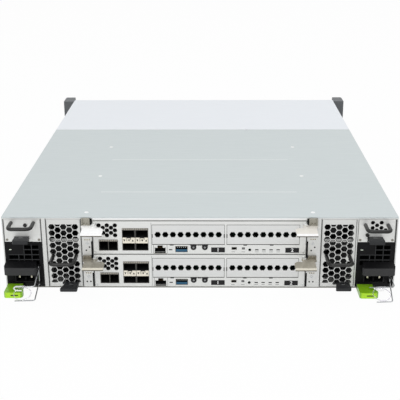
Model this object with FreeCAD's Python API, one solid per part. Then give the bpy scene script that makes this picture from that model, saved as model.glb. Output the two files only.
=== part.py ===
import FreeCAD, Part
import math
import os

# Two-unit rack disk shelf: drives at the front, two canisters, two power supplies with
# backup batteries and two fan modules at the rear. Millimetres, +Z up. The origin is the
# centre of the body's footprint on its base; -Y is the rear side with the sockets.

V = FreeCAD.Vector

# ---- the rack that it fits ----
RACK_UNIT = 44.45
EAR_HOLE_SPAN = 465.1   # between the two rows of holes in a nineteen-inch rack
EAR_EDGE = 8.75         # from a hole's middle to the ear's outer end
EAR_W = 17.8

# ---- body ----
BODY_H = 2 * RACK_UNIT - 1.9    # two units less the gap to the next one
REAR_LENGTH = 376.0     # bays for the rear modules, under the rear cover
FRONT_LENGTH = 194.0    # drive bays, under the front cover
WALL = 1.2              # chassis and cover sheet
HEADER_T = 1.1          # folded rim under the covers
HEADER_W = 9.0
FIT = 0.3               # gap round a sliding module
COVER_GAP = 0.4         # seam between the two covers
COVER_SCREW_R = 2.6
COVER_SCREW_H = 0.4
COVER_SCREW_OUT = 8.0   # outside the canisters' sides
COVER_SCREW_ROWS = (0.041, 0.388, 0.745)    # shares of the rear cover's length
BEAD_ROWS = (0.229, 0.582)
COVER_NOTCHES = (-0.157, 0.150)             # shares of the body's width
PUNCH_SIDES = 8         # flats of a small punched hole
BAR_SIDES = 8           # flats of a moulded handle or a thin wire

# ---- rear columns, from the side walls to the middle ----
LEFT_SIDE_GAP = 0.8
RIGHT_SIDE_GAP = 1.4
PSU_W = 42.0
PILLAR_W = 5.5
DIVIDER_T = 1.2
FAN_W = 39.0
LEFT_STRIP_W = 12.8
RIGHT_STRIP_W = 16.5
STRIP_SLIT_W = 1.0
MODULE_FLOOR_GAP = 0.5
CANISTER_FLOOR_GAP = 0.3

# ---- canisters ----
CANISTER_TOP_GAP = 2.9  # between the upper canister and the cover
CANISTER_STACK_GAP = 0.4
FACE_T = 1.2
TRAY_T = 0.8
TRAY_STEP_H = 3.3
TRAY_STEP_W = 4.4
TRAY_SIDE_GAP = 1.5
RAIL_H = 2.4
BOARD_T = 1.1
VENT_R = 2.1
VENT_SIDES = 6
SLOT_X = 67.3           # from the face's left edge to the first expansion slot
SLOT_Z = 11.7
SLOT_GAP = 2.8
SLOT_END = 7.9
SLOT_TOP = 5.2
HEX_AF = 5.6
HEX_COUNT = 9
NOTCH_W = 6.0           # room for a network plug's clip
NOTCH_H = 2.8
SINK_W = 70.0
SINK_D = 80.0
SINK_H = 26.0
SINK_FINS = 7
MEMORY_COUNT = 3
MEMORY_PITCH = 13.0
MEMORY_L = 140.0
MEMORY_H = 30.0

# ---- ejector levers ----
LEVER_T = 1.8
LEVER_REACH = 34.0
LEVER_PIN_IN = 1.9      # pin centre inside the canister's side
LEVER_TIP_W = 8.4
LEVER_TIP_D = 17.0
LEVER_BEAD_H = 3.2
LEVER_DROP = 6.3        # underside of the plate below the canister's top
LEVER_ROOT_H = 8.2
LEVER_PIN_R = 1.5
LEVER_PIN_OUT = 4.0     # pin centre in front of the canister's face
PIN_FIT = 0.06

# ---- power supplies and batteries ----
BATTERY_H = 27.3
PSU_D = 240.0
BEZEL_T = 4.0
GRILLE_DEPTH = 9.0
GRILLE_BAR = 1.3
GRILLE_ROWS = (0.487, 0.607, 0.720, 0.833, 0.945)   # shares of a supply's height
HOOD_BACK = (0.320, 0.582)
HOOD_FRONT = (0.338, 0.491)
INLET_W = 25.0
INLET_H = 14.6
INLET_DEPTH = 17.0
INLET_Z = 4.6           # lower edge of the socket above the supply's base
INLET_SHIFT = 20.3      # socket centre from the supply's outer side
HOOD_OUT = 12.0
HOOD_W = 37.2
HOOD_SIDE_OUT = 1.4
PIN_PITCH = 14.0
SHELF_T = 0.8
BATTERY_GAP = 0.4
HANDLE_R = 2.1
HANDLE_BEND = 5.0
BATTERY_HANDLE_W = 25.4
BATTERY_HANDLE_OUT = 20.0
BATTERY_HEX_AF = 4.5

# ---- release latches ----
LATCH_TRAVEL = 2.5
PSU_LATCH_W = 20.0
PSU_LATCH_OUT = 29.5
PSU_LATCH_H = 6.6
BATTERY_LATCH_W = 17.0
BATTERY_LATCH_OUT = 18.0
FAN_LATCH_W = 16.6
FAN_LATCH_OUT = 20.0
FAN_LATCH_T = 3.6
PSU_LATCH_ARM = 45.0
BATTERY_LATCH_ARM = 25.0
FAN_LATCH_ARM = 16.0

# ---- cord bails ----
WIRE_R = 0.7
BAIL_OUT = 42.0
BAIL_REACH = 21.0
BAIL_TIE_R = 10.2
BAIL_TIE_T = 0.8
BAIL_TIE_H = 1.6
BAIL_TIE_SLOPE = 0.347
TIE_SIDES = 20
BAIL_AXIS_OUT = 5.0
BAIL_PIVOT_LOW = 5.6
BAIL_TOP = {-1: 0.502, 1: 0.309}    # shares of a supply's height; the right one ends under the hood

# ---- fan modules ----
FAN_MODULE_D = 74.0
FAN_SHEET = 0.8
FAN_HEX_AF = 6.2
FAN_HEX_COLUMN = 6.6
FAN_HEX_ROW = 7.6
FAN_HANDLE_W = 26.2
FAN_HANDLE_OUT = 26.0
FAN_HANDLE_Z = 38.3     # above the module's own base
FAN_VENT_TOP = 6.3      # solid band over the vents
FAN_FRAME_D = 28.0
FAN_FRAME_Y = 24.0      # behind the face
DUCT_SIDES = 12
ROTOR_GAP = 1.1
HUB_R = 8.0
BLADES = 5
BLADE_PITCH = 42.0      # degrees from the axis
BLADE_ROOT = 12.0
BLADE_TIP = 17.0
BLADE_T = 1.2
SHAFT_R = 1.5

# ---- drive bays ----
COLUMNS = 4
ROWS = 3
CAGE_SIDE_GAP = 4.3
ROW_GAP = 1.6
PARTITION_T = 0.8
CARRIER_GAP = 0.5
CARRIER_OUT = 8.0       # carrier front ahead of the body
CARRIER_RAIL_T = 2.5
DISK_D = 147.0
DRIVE_LEVER_END = 19.2  # how much shorter a pull lever is than its carrier is wide
DRIVE_LEVER_H = 9.0
DRIVE_LEVER_T = 3.2
LEDGE_W = 4.0
LEDGE_T = 0.9

# ---- midplane ----
MIDPLANE_T = 2.4
CONNECTOR_D = 5.0

# ---- rack ears ----
EAR_BEHIND = 10.0       # mounting face behind the body's front edge
EAR_D = 31.0
EAR_T = 2.4
EAR_SLOT_R = 3.4
EAR_SLOT_L = 10.0
EAR_ACCESS_R = 5.5

# ---- sizes and places that follow from those above ----
EAR_SPAN = EAR_HOLE_SPAN + 2 * EAR_EDGE
BODY_W = EAR_SPAN - 2 * EAR_W
HALF_W = BODY_W / 2
BODY_D = REAR_LENGTH + FRONT_LENGTH
REAR = -BODY_D / 2
FRONT = BODY_D / 2
SEAM = REAR + REAR_LENGTH
COVER_Z = BODY_H - WALL
HEADER_Z = COVER_Z - HEADER_T
MODULE_TOP = HEADER_Z - FIT
MODULE_Z = WALL + MODULE_FLOOR_GAP
INNER = HALF_W - WALL
LEFT_PSU_X = -INNER + LEFT_SIDE_GAP
LEFT_PILLAR_X = LEFT_PSU_X + PSU_W + FIT
LEFT_FAN_X = LEFT_PILLAR_X + PILLAR_W + FIT
LEFT_STRIP_X = LEFT_FAN_X + FAN_W + FIT
CANISTER_X = LEFT_STRIP_X + LEFT_STRIP_W + FIT
RIGHT_PSU_X = INNER - RIGHT_SIDE_GAP - PSU_W
DIVIDER_X = RIGHT_PSU_X - FIT - DIVIDER_T
RIGHT_FAN_X = DIVIDER_X - FIT - FAN_W
RIGHT_STRIP_X = RIGHT_FAN_X - FIT - RIGHT_STRIP_W
CANISTER_W = RIGHT_STRIP_X - FIT - CANISTER_X
CANISTER_MID = CANISTER_X + CANISTER_W / 2
STACK_H = COVER_Z - CANISTER_TOP_GAP - WALL - CANISTER_FLOOR_GAP
CANISTER_H = (STACK_H - CANISTER_STACK_GAP) / 2
CANISTER_BASE = {
    "lower": WALL + CANISTER_FLOOR_GAP,
    "upper": WALL + CANISTER_FLOOR_GAP + CANISTER_H + CANISTER_STACK_GAP,
}
MIDPLANE_Y = SEAM + 1.0
BAY_END = MIDPLANE_Y - FIT
CANISTER_D = BAY_END - REAR
SLOT_W = (CANISTER_W - SLOT_X - SLOT_END - SLOT_GAP) / 2
SLOT_H = CANISTER_H - SLOT_Z - SLOT_TOP
HEX_PITCH = SLOT_W / (HEX_COUNT + 0.5)
LEVER_Z = CANISTER_H - LEVER_DROP
LEVER_OUTER_W = LEFT_STRIP_W + FIT + LEVER_PIN_IN
BATTERY_Z = MODULE_TOP - BATTERY_H
PSU_H = BATTERY_Z - BATTERY_GAP - MODULE_Z
FAN_PITCH = (MODULE_TOP - MODULE_Z - 2 * FAN_SHEET - 0.4) / 2
FAN_BORE_R = min(FAN_W / 2 - FAN_SHEET - 0.8, FAN_PITCH / 2 - 0.7)
ROTOR_R = FAN_BORE_R - ROTOR_GAP
CAGE_Y = MIDPLANE_Y + MIDPLANE_T + CONNECTOR_D + FIT
CARRIER_FRONT = FRONT + CARRIER_OUT
DRIVE_Z = WALL + PARTITION_T + FIT
DRIVE_PITCH = 2 * (INNER - CAGE_SIDE_GAP) / COLUMNS
ROW_PITCH = (MODULE_TOP - DRIVE_Z + ROW_GAP) / ROWS
CARRIER_W = DRIVE_PITCH - PARTITION_T - 2 * CARRIER_GAP
CARRIER_H = ROW_PITCH - ROW_GAP
DISK_W = CARRIER_W - 2 * CARRIER_RAIL_T - 2 * FIT
DISK_H = CARRIER_H - 0.2
DRIVE_LEVER_W = CARRIER_W - DRIVE_LEVER_END


def box(x0, x1, y0, y1, z0, z1):
    """A block between two corners."""
    return Part.makeBox(x1 - x0, y1 - y0, z1 - z0, V(x0, y0, z0))


def fuse(shapes):
    """One solid from several that touch."""
    joined = shapes[0].fuse(shapes[1:]) if len(shapes) > 1 else shapes[0]
    return joined.removeSplitter()


def cut(shape, tools):
    """A shape less a list of tools."""
    return shape.cut(Part.makeCompound(tools)) if tools else shape


def group(shapes):
    """Separate solids that belong to one sub-part."""
    return Part.makeCompound(shapes)


def prism(points, along):
    """A closed outline of points pushed along a vector."""
    corners = [V(*p) for p in points]
    face = Part.Face(Part.makePolygon(corners + corners[:1]))
    return face.extrude(V(*along))


def rod(x, y, z, r, along):
    """A round bar from a point, with the length and direction of a vector."""
    direction = V(*along)
    return Part.makeCylinder(r, direction.Length, V(x, y, z), direction)


def ring_points(a, b, r, sides):
    """Corners of a regular outline about a point, as pairs in the outline's own plane."""
    turns = [2 * math.pi * k / sides for k in range(sides)]
    return [(a + r * math.cos(t), b + r * math.sin(t)) for t in turns]


def hexagon(x, z, across, y0, y1, floor=None, roof=None):
    """A hexagonal hole tool along Y, points to the sides, cut off by a floor or a roof."""
    r = across / math.sqrt(3)
    tool = prism([(px, y0, pz) for px, pz in ring_points(x, z, r, 6)], (0, y1 - y0, 0))
    if floor is not None:
        tool = tool.common(box(x - r, x + r, y0, y1, floor, z + r))
    if roof is not None:
        tool = tool.common(box(x - r, x + r, y0, y1, z - r, roof))
    return tool


def punched(x, z, r, y0, y1, sides=PUNCH_SIDES):
    """A small round hole or pin along Y, with as many flats as it needs."""
    return prism([(px, y0, pz) for px, pz in ring_points(x, z, r, sides)], (0, y1 - y0, 0))


def bar_section(centre, direction, r):
    """A bar's many-sided section, square to a direction."""
    ahead = V(direction).normalize()
    across = ahead.cross(V(0.31, 0.17, 0.93)).normalize()
    up = ahead.cross(across)
    turns = [2 * math.pi * k / BAR_SIDES for k in range(BAR_SIDES)]
    corners = [centre + across * (r * math.cos(t)) + up * (r * math.sin(t)) for t in turns]
    return Part.makePolygon(corners + corners[:1])


def bent_bar(points, r):
    """A bar of one thickness along straight runs, mitred where they meet."""
    pts = [V(*p) for p in points]
    path = Part.makePolygon(pts)
    return path.makePipeShell([bar_section(pts[0], pts[1] - pts[0], r)], True, True, 1)


def u_handle(x, z, width, out, face_y):
    """A U-shaped grab handle with its feet on a face and its corners eased."""
    half = width / 2
    ease = HANDLE_BEND * (1 - math.sqrt(0.5))
    front = face_y - out
    side = [
        (half, face_y), (half, front + HANDLE_BEND),
        (half - ease, front + ease), (half - HANDLE_BEND, front),
    ]
    path = [(x - dx, y, z) for dx, y in side]
    path += [(x + dx, y, z) for dx, y in reversed(side)]
    return bent_bar(path, HANDLE_R)


# ---------------------------------------------------------------- chassis

def bay_wall(x, thickness):
    """A full-height wall between two rear bays."""
    return box(x, x + thickness, REAR, BAY_END, 0, COVER_Z)


def rear_post(x, width):
    """A post between two rear bays: a face folded from the sheets of its two walls."""
    face = box(x, x + width, REAR, REAR + WALL, 0, COVER_Z)
    return [face, bay_wall(x, WALL), bay_wall(x + width - WALL, WALL)]


def canister_rails():
    """Ledges that each canister's stepped sides run on."""
    rails = []
    for base in CANISTER_BASE.values():
        z0 = base + TRAY_STEP_H - FIT - RAIL_H
        z1 = base + TRAY_STEP_H - FIT
        y0 = REAR + FACE_T + 2 * FIT
        left = CANISTER_X - FIT
        right = CANISTER_X + CANISTER_W + FIT
        rails.append(box(left, left + TRAY_STEP_W, y0, BAY_END, z0, z1))
        rails.append(box(right - TRAY_STEP_W, right, y0, BAY_END, z0, z1))
    return rails


def battery_shelves():
    """Shelves that carry the batteries above the power supplies."""
    z0 = BATTERY_Z
    y0 = REAR + BEZEL_T + 1
    y1 = REAR + PSU_D
    left = box(-INNER, LEFT_PILLAR_X, y0, y1, z0, z0 + SHELF_T)
    right = box(RIGHT_PSU_X - FIT, INNER, y0, y1, z0, z0 + SHELF_T)
    return [left, right]


def rear_lintel():
    """Cross-member over the rear bays, and the filler strip under it above the upper canister."""
    header = box(-INNER, INNER, REAR, REAR + HEADER_W, HEADER_Z, COVER_Z)
    z0 = CANISTER_BASE["upper"] + CANISTER_H + FIT
    strip = box(CANISTER_X, CANISTER_X + CANISTER_W, REAR, REAR + WALL, z0, HEADER_Z)
    return [header, strip]


def chassis_tub():
    """Floor, sides, rim, rear posts and bay walls of the body, with the lintel across its rear."""
    sheets = [
        box(-HALF_W, HALF_W, REAR, FRONT, 0, WALL),
        box(-HALF_W, -INNER, REAR, FRONT, 0, COVER_Z),
        box(INNER, HALF_W, REAR, FRONT, 0, COVER_Z),
        box(-INNER, -INNER + HEADER_W, REAR, FRONT, HEADER_Z, COVER_Z),
        box(INNER - HEADER_W, INNER, REAR, FRONT, HEADER_Z, COVER_Z),
        box(-INNER, INNER, SEAM - HEADER_W, SEAM + HEADER_W, HEADER_Z, COVER_Z),
        box(DIVIDER_X, DIVIDER_X + DIVIDER_T, REAR, BAY_END, 0, COVER_Z),
    ]
    sheets += rear_post(LEFT_PILLAR_X, PILLAR_W)
    sheets += rear_post(LEFT_STRIP_X, LEFT_STRIP_W)
    sheets += rear_post(RIGHT_STRIP_X, RIGHT_STRIP_W)
    sheets += canister_rails()
    sheets += battery_shelves()
    lintel = rear_lintel()
    tub = cut(fuse(sheets), strip_slits() + lintel[:1])
    return group([tub] + lintel)


def strip_slits():
    """Narrow slits in the two middle posts, beside each canister."""
    tools = []
    for base in CANISTER_BASE.values():
        for x in (CANISTER_X - FIT - STRIP_SLIT_W, CANISTER_X + CANISTER_W + FIT):
            tools.append(box(x, x + STRIP_SLIT_W, REAR - 1, REAR + WALL, base + 1, base + 17))
    return tools


def rear_cover():
    """Top sheet over the rear modules, with a short lip over the rim."""
    y1 = SEAM - COVER_GAP / 2
    sheet = box(-HALF_W, HALF_W, REAR, y1, COVER_Z, BODY_H)
    tools = []
    for x in (share * BODY_W for share in COVER_NOTCHES):
        tools.append(box(x - 3, x + 3, y1 - 4, y1 + 1, COVER_Z - 1, BODY_H + 1))
    end = CANISTER_X + CANISTER_W - 4
    for y in (REAR + share * REAR_LENGTH for share in BEAD_ROWS):
        tools.append(box(CANISTER_X, end, y - 0.5, y + 0.5, BODY_H - 0.3, BODY_H + 1))
    return cut(sheet, tools)


def front_cover():
    """Top sheet over the drive bays."""
    return box(-HALF_W, HALF_W, SEAM + COVER_GAP / 2, FRONT, COVER_Z, BODY_H)


def case_screws():
    """Flat screws that hold the rear cover down."""
    columns = (CANISTER_X - COVER_SCREW_OUT, CANISTER_X + CANISTER_W + COVER_SCREW_OUT)
    screws = []
    for x, y in ((x, REAR + share * REAR_LENGTH) for x in columns for share in COVER_SCREW_ROWS):
        outline = [(px, py, BODY_H) for px, py in ring_points(x, y, COVER_SCREW_R, PUNCH_SIDES)]
        screws.append(prism(outline, (0, 0, COVER_SCREW_H)))
    return group(screws)


def rack_ear(side):
    """A moulded ear on one side: mounting flange, hollow cap and two screw passages."""
    y0 = FRONT - EAR_BEHIND
    y1 = y0 + EAR_D
    outer = EAR_SPAN / 2
    shell = box(HALF_W, outer, y0, y1, 0.3, BODY_H)
    front_edges = [
        e for e in shell.Edges
        if abs(e.CenterOfMass.y - y1) < 0.01 and abs(e.CenterOfMass.x - outer) < 0.01
    ]
    shell = shell.makeChamfer(2.0, front_edges)
    hollow = box(HALF_W - 1, outer - EAR_T, y0 + EAR_T, y1 - EAR_T, 0.3 + EAR_T, BODY_H - EAR_T)
    relief = box(HALF_W - 1, HALF_W + 2, FRONT, y1 + 1, -1, BODY_H + 1)
    tools = [hollow, relief]
    middle = EAR_HOLE_SPAN / 2
    flat = EAR_SLOT_L / 2 - EAR_SLOT_R
    for z in (BODY_H / 2 - RACK_UNIT / 2, BODY_H / 2 + RACK_UNIT / 2):
        through = (0, EAR_T + 2, 0)
        tools.append(fuse([
            rod(middle - flat, y0 - 1, z, EAR_SLOT_R, through),
            rod(middle + flat, y0 - 1, z, EAR_SLOT_R, through),
            box(middle - flat, middle + flat, y0 - 1, y0 + EAR_T + 1, z - EAR_SLOT_R, z + EAR_SLOT_R),
        ]))
        tools.append(box(
            middle - EAR_ACCESS_R, middle + EAR_ACCESS_R, y1 - EAR_T - 1, y1 + 1,
            z - EAR_ACCESS_R, z + EAR_ACCESS_R,
        ))
    ear = shell
    for tool in tools:
        ear = ear.cut(tool)
    if side < 0:
        ear = ear.mirror(V(0, 0, 0), V(1, 0, 0))
    return ear


# ---------------------------------------------------------------- drive bays

def column_x(column):
    """Middle of a drive column."""
    return (column - (COLUMNS - 1) / 2) * DRIVE_PITCH


def row_z(row):
    """Underside of the carriers in a row."""
    return DRIVE_Z + row * ROW_PITCH


def drive_cage():
    """Base sheet, upright partitions and the ledges that the carriers run on."""
    y1 = FRONT - 2
    width = COLUMNS * DRIVE_PITCH / 2 + PARTITION_T / 2
    sheets = [box(-width, width, CAGE_Y, y1, WALL, WALL + PARTITION_T)]
    for n in range(COLUMNS + 1):
        x = (n - COLUMNS / 2) * DRIVE_PITCH
        left = x - PARTITION_T / 2
        sheets.append(box(left, left + PARTITION_T, CAGE_Y, y1, WALL, MODULE_TOP))
        for row in range(1, ROWS):
            z1 = row_z(row) - FIT
            if n > 0:
                sheets.append(box(left - LEDGE_W, left, CAGE_Y, y1, z1 - LEDGE_T, z1))
            if n < COLUMNS:
                inner = left + PARTITION_T
                sheets.append(box(inner, inner + LEDGE_W, CAGE_Y, y1, z1 - LEDGE_T, z1))
    return fuse(sheets)


def carrier(x, z):
    """A drive carrier: two side rails and a vented front with the ears that hold the lever."""
    half = CARRIER_W / 2
    y1 = CARRIER_FRONT - DRIVE_LEVER_T - 2 * FIT
    front = box(x - half, x + half, y1 - BEZEL_T, y1, z, z + CARRIER_H)
    rails = [
        box(x - half, x - half + CARRIER_RAIL_T, CAGE_Y + FIT, y1, z + 1, z + CARRIER_H - 1),
        box(x + half - CARRIER_RAIL_T, x + half, CAGE_Y + FIT, y1, z + 1, z + CARRIER_H - 1),
    ]
    pin_x = x - half + 5
    pin_y = y1 + FIT + DRIVE_LEVER_T / 2
    lever_z = z + 4
    ears = [
        box(pin_x - 3, pin_x + 3, y1 - 0.5, pin_y + DRIVE_LEVER_T / 2, low, low + 2)
        for low in (lever_z - FIT - 2, lever_z + DRIVE_LEVER_H + FIT)
    ]
    body = fuse([front] + rails + ears)
    vent = box(x - half + 12, x + half - 12, y1 - BEZEL_T - 1, y1 + 1, z + CARRIER_H - 8, z + CARRIER_H - 4)
    return cut(body, [vent])


def disk(x, z):
    """A three-and-a-half inch disk."""
    half = DISK_W / 2
    y0 = CAGE_Y + 2 * FIT
    z0 = z + (CARRIER_H - DISK_H) / 2
    return box(x - half, x + half, y0, y0 + DISK_D, z0, z0 + DISK_H)


def drive(x, z):
    """A carrier with its disk."""
    return group([carrier(x, z), disk(x, z)])


def drive_lever(x, z):
    """A carrier's pull lever, hinged between the ears at its left end."""
    y0 = CARRIER_FRONT - DRIVE_LEVER_T - FIT
    pin_x = x - CARRIER_W / 2 + 5
    pin_y = y0 + DRIVE_LEVER_T / 2
    z0 = z + 4
    outline = [(px, py, z0) for px, py in ring_points(pin_x, pin_y, DRIVE_LEVER_T / 2, PUNCH_SIDES)]
    heel = prism(outline, (0, 0, DRIVE_LEVER_H))
    bar = box(pin_x, pin_x + DRIVE_LEVER_W, y0, y0 + DRIVE_LEVER_T, z0, z0 + DRIVE_LEVER_H)
    end = pin_x + DRIVE_LEVER_W
    front = y0 + DRIVE_LEVER_T
    lip = prism([(end - 6, front, z0), (end, front, z0), (end, front + 3, z0)], (0, 0, DRIVE_LEVER_H))
    return fuse([heel, bar, lip])


# ---------------------------------------------------------------- midplane

def midplane():
    """The board across the body with its connectors and the power boards behind the supplies."""
    y0 = MIDPLANE_Y
    y1 = y0 + MIDPLANE_T
    half = COLUMNS * DRIVE_PITCH / 2 - 2
    board = box(-half, half, y0, y1, WALL + 1, HEADER_Z - 1)
    air = []
    for column in range(COLUMNS):
        x = column_x(column)
        air.append(box(x - 45, x + 12, y0 - 1, y1 + 1, row_z(0) + 6, row_z(ROWS - 1) + 20))
    board = cut(board, air)
    solids = [board]
    for column in range(COLUMNS):
        for row in range(ROWS):
            x = column_x(column)
            solids.append(box(x + 18, x + 46, y1, y1 + CONNECTOR_D, row_z(row) + 3, row_z(row) + 9))
    for x in (LEFT_PSU_X, RIGHT_PSU_X):
        middle = x + PSU_W / 2
        end = REAR + PSU_D + CONNECTOR_D + FIT
        solids.append(box(middle - 1, middle + 1, end, y0, WALL + 1, HEADER_Z - 1))
    return group(solids)


# ---------------------------------------------------------------- canisters

def face_x(measure):
    """A place on a canister's face, measured from its left edge."""
    return CANISTER_X + measure


SOCKETS = {
    # name: left, lower, width, height, from the face's left edge and base
    "sas_left": (7.4, 4.7, 9.6, 10.2),
    "sas_right": (17.9, 4.7, 9.6, 10.2),
    "sfp_upper_left": (34.0, 20.3, 13.1, 8.1),
    "sfp_upper_right": (49.2, 20.3, 13.1, 8.1),
    "sfp_lower_left": (34.0, 4.7, 13.1, 8.1),
    "sfp_lower_right": (49.2, 4.7, 13.1, 8.1),
    "network": (70.6, 2.2, 11.3, 5.2),
    "usb": (93.9, 2.4, 13.2, 6.6),
    "small_usb": (157.9, 5.6, 5.2, 2.2),
}
CAGES = (
    # sockets that share one metal cage, and the cage's wall
    (("sas_left", "sas_right"), 0.7),
    (("sfp_upper_left", "sfp_upper_right", "sfp_lower_left", "sfp_lower_right"), 0.6),
    (("usb",), 0.4),
    (("small_usb",), 0.4),
)
CAGE_DEPTH = (36, 50, 16, 8)
JACKS = ((114.2, 8.2), (127.1, 8.2))
JACK_R = 1.9
JACK_RING_R = 3.2
BUTTON_AT = (178.2, 4.9)
VENT_PLACES = (
    # from the face's left edge, below its top
    (7.2, 5.8), (16.5, 5.8), (25.5, 5.8), (11.8, 8.7), (21.1, 8.7),
    (7.2, 11.8), (16.5, 11.8), (25.5, 11.8), (12.2, 14.9), (21.0, 14.9),
    (16.2, 17.8), (25.5, 17.8),
)


def slot_windows(base, grow):
    """Places of the two expansion slots, as (left, right, low, high)."""
    windows = []
    for n in range(2):
        x0 = face_x(SLOT_X + n * (SLOT_W + SLOT_GAP))
        z0 = base + SLOT_Z
        windows.append((x0 - grow, x0 + SLOT_W + grow, z0 - grow, z0 + SLOT_H + grow))
    return windows


def canister_vents(base):
    """Vent holes beside the sockets, in staggered rows."""
    top = base + CANISTER_H
    y1 = REAR + FACE_T + 1
    return [punched(face_x(x), top - drop, VENT_R, REAR - 1, y1, VENT_SIDES) for x, drop in VENT_PLACES]


def tray_profile(base):
    """Section of the folded tray: floor, a step to clear the rails, and the sides."""
    x0 = CANISTER_X + TRAY_SIDE_GAP
    x1 = CANISTER_X + CANISTER_W - TRAY_SIDE_GAP
    left = x0 + TRAY_STEP_W - FIT
    right = x1 - TRAY_STEP_W + FIT
    top = base + CANISTER_H - 1.2
    step = base + TRAY_STEP_H
    t = TRAY_T
    y = REAR + FACE_T
    outline = [
        (x0, top), (x0, step), (left, step), (left, base), (right, base), (right, step),
        (x1, step), (x1, top), (x1 - t, top), (x1 - t, step + t), (right - t, step + t),
        (right - t, base + t), (left + t, base + t), (left + t, step + t), (x0 + t, step + t),
        (x0 + t, top),
    ]
    return prism([(x, y, z) for x, z in outline], (0, CANISTER_D - FACE_T - CONNECTOR_D, 0))


def lever_pin_place(side):
    """X of a lever's pin; side is -1 on the left and 1 on the right."""
    return CANISTER_MID + side * (CANISTER_W / 2 - LEVER_PIN_IN)


def lever_lugs(base, side):
    """Two lugs and the pin that an ejector lever turns on."""
    x = lever_pin_place(side)
    y = REAR - LEVER_PIN_OUT
    z0 = base + LEVER_Z
    z1 = z0 + LEVER_T
    parts = []
    for low, high in ((z0 - FIT - 1.5, z0 - FIT), (z1 + FIT, z1 + FIT + 1.5)):
        parts.append(box(x - 1.9, x + 1.9, y - 1.9, REAR + FACE_T, low, high))
    parts.append(rod(x, y, z0 - 1, LEVER_PIN_R, (0, 0, LEVER_T + 2)))
    return parts


def canister_tray(base):
    """A canister's face and folded tray, with the lugs of its two levers."""
    face = box(CANISTER_X, CANISTER_X + CANISTER_W, REAR, REAR + FACE_T, base, base + CANISTER_H)
    body = fuse([face, tray_profile(base)] + lever_lugs(base, -1) + lever_lugs(base, 1))
    y0 = REAR - 1
    y1 = REAR + FACE_T + 0.5
    tools = [box(a, b, y0, y1, c, d) for a, b, c, d in slot_windows(base, 0)]
    for names, wall in CAGES:
        left, right, low, high = cage_outline(base, names, wall)
        tools.append(box(left - FIT / 2, right + FIT / 2, y0, y1, low - FIT / 2, high + FIT / 2))
    tools += network_pocket(base, y0, y1, y1)
    tools += [punched(face_x(x), base + z, JACK_RING_R, y0, y1) for x, z in JACKS]
    tools.append(punched(face_x(BUTTON_AT[0]), base + BUTTON_AT[1], 1.8, y0, y1))
    return cut(body, tools + canister_vents(base))


def slot_covers(base):
    """Blank plates with a row of hexagonal vents, one in each expansion slot."""
    plates = []
    for x0, x1, z0, z1 in slot_windows(base, -FIT / 2):
        plate = box(x0, x1, REAR, REAR + FACE_T, z0, z1)
        first = (x0 + x1) / 2 - (HEX_COUNT - 1) / 2 * HEX_PITCH
        places = [first + n * HEX_PITCH for n in range(HEX_COUNT)]
        plates.append(cut(plate, [hexagon(x, (z0 + z1) / 2, HEX_AF, REAR - 1, REAR + 3) for x in places]))
    return group(plates)


def cage_outline(base, names, wall):
    """A cage's outline on the face, as (left, right, low, high)."""
    places = [SOCKETS[n] for n in names]
    x0 = face_x(min(p[0] for p in places)) - wall
    x1 = face_x(max(p[0] + p[2] for p in places)) + wall
    z0 = base + min(p[1] for p in places) - wall
    z1 = base + max(p[1] + p[3] for p in places) + wall
    return x0, x1, z0, z1


def cage(base, names, wall, depth):
    """A metal cage through the face with one pocket for each of its sockets."""
    x0, x1, z0, z1 = cage_outline(base, names, wall)
    foot = base + TRAY_T + BOARD_T
    block = fuse([
        box(x0, x1, REAR, REAR + FACE_T + 0.2, z0, z1),
        box(x0, x1, REAR + FACE_T + 0.2, REAR + depth, min(foot, z0), z1),
    ])
    pockets = []
    for x, z, w, h in (SOCKETS[n] for n in names):
        pockets.append(box(face_x(x), face_x(x + w), REAR - 1, REAR + depth - wall, base + z, base + z + h))
    return cut(block, pockets)


def network_pocket(base, y0, y1, notch_y1):
    """Tools for the network socket: room for a plug, topped by the notch for its clip."""
    x, z, w, h = SOCKETS["network"]
    middle = face_x(x + w / 2)
    top = base + z + h
    plug = box(face_x(x), face_x(x + w), y0, y1, base + z, top)
    clip = box(middle - NOTCH_W / 2, middle + NOTCH_W / 2, y0, notch_y1, top - 1, top + NOTCH_H)
    return [plug, clip]


def network_socket(base):
    """The network socket's shell."""
    x, z, w, h = SOCKETS["network"]
    y0 = REAR + FACE_T + 0.1
    z0 = base + TRAY_T + BOARD_T
    block = box(face_x(x) - 1.4, face_x(x + w) + 1.4, y0, y0 + 20, z0, base + z + h + NOTCH_H + 1.2)
    return cut(block, network_pocket(base, y0 - 1, y0 + 14, y0 + 12))


def jack_row(base):
    """Two round jacks in one housing."""
    y0 = REAR + FACE_T + 0.1
    z0 = base + TRAY_T + BOARD_T
    x0 = face_x(JACKS[0][0] - JACK_RING_R - 0.5)
    x1 = face_x(JACKS[1][0] + JACK_RING_R + 0.5)
    block = box(x0, x1, y0, y0 + 12, z0, base + JACKS[0][1] + JACK_RING_R)
    holes = [punched(face_x(x), base + z, JACK_R, y0 - 1, y0 + 8) for x, z in JACKS]
    return cut(block, holes)


def heat_sink(x, y, z):
    """A finned block over the processor."""
    left = x - SINK_W / 2
    y0 = y - SINK_D / 2
    y1 = y + SINK_D / 2
    parts = [box(left, left + SINK_W, y0, y1, z, z + 5)]
    for n in range(SINK_FINS):
        fin = left + n * (SINK_W - 2) / (SINK_FINS - 1)
        parts.append(box(fin, fin + 2, y0, y1, z + 5, z + SINK_H))
    return fuse(parts)


def memory_bank(x, y, z):
    """Memory modules upright in their sockets."""
    y0 = y - MEMORY_L / 2
    y1 = y + MEMORY_L / 2
    parts = []
    for n in range(MEMORY_COUNT):
        left = x + n * MEMORY_PITCH
        parts.append(box(left, left + 4, y0, y1, z, z + 4))
        parts.append(box(left + 1.3, left + 2.7, y0 + 3, y1 - 3, z + 4, z + MEMORY_H))
    return parts


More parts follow.
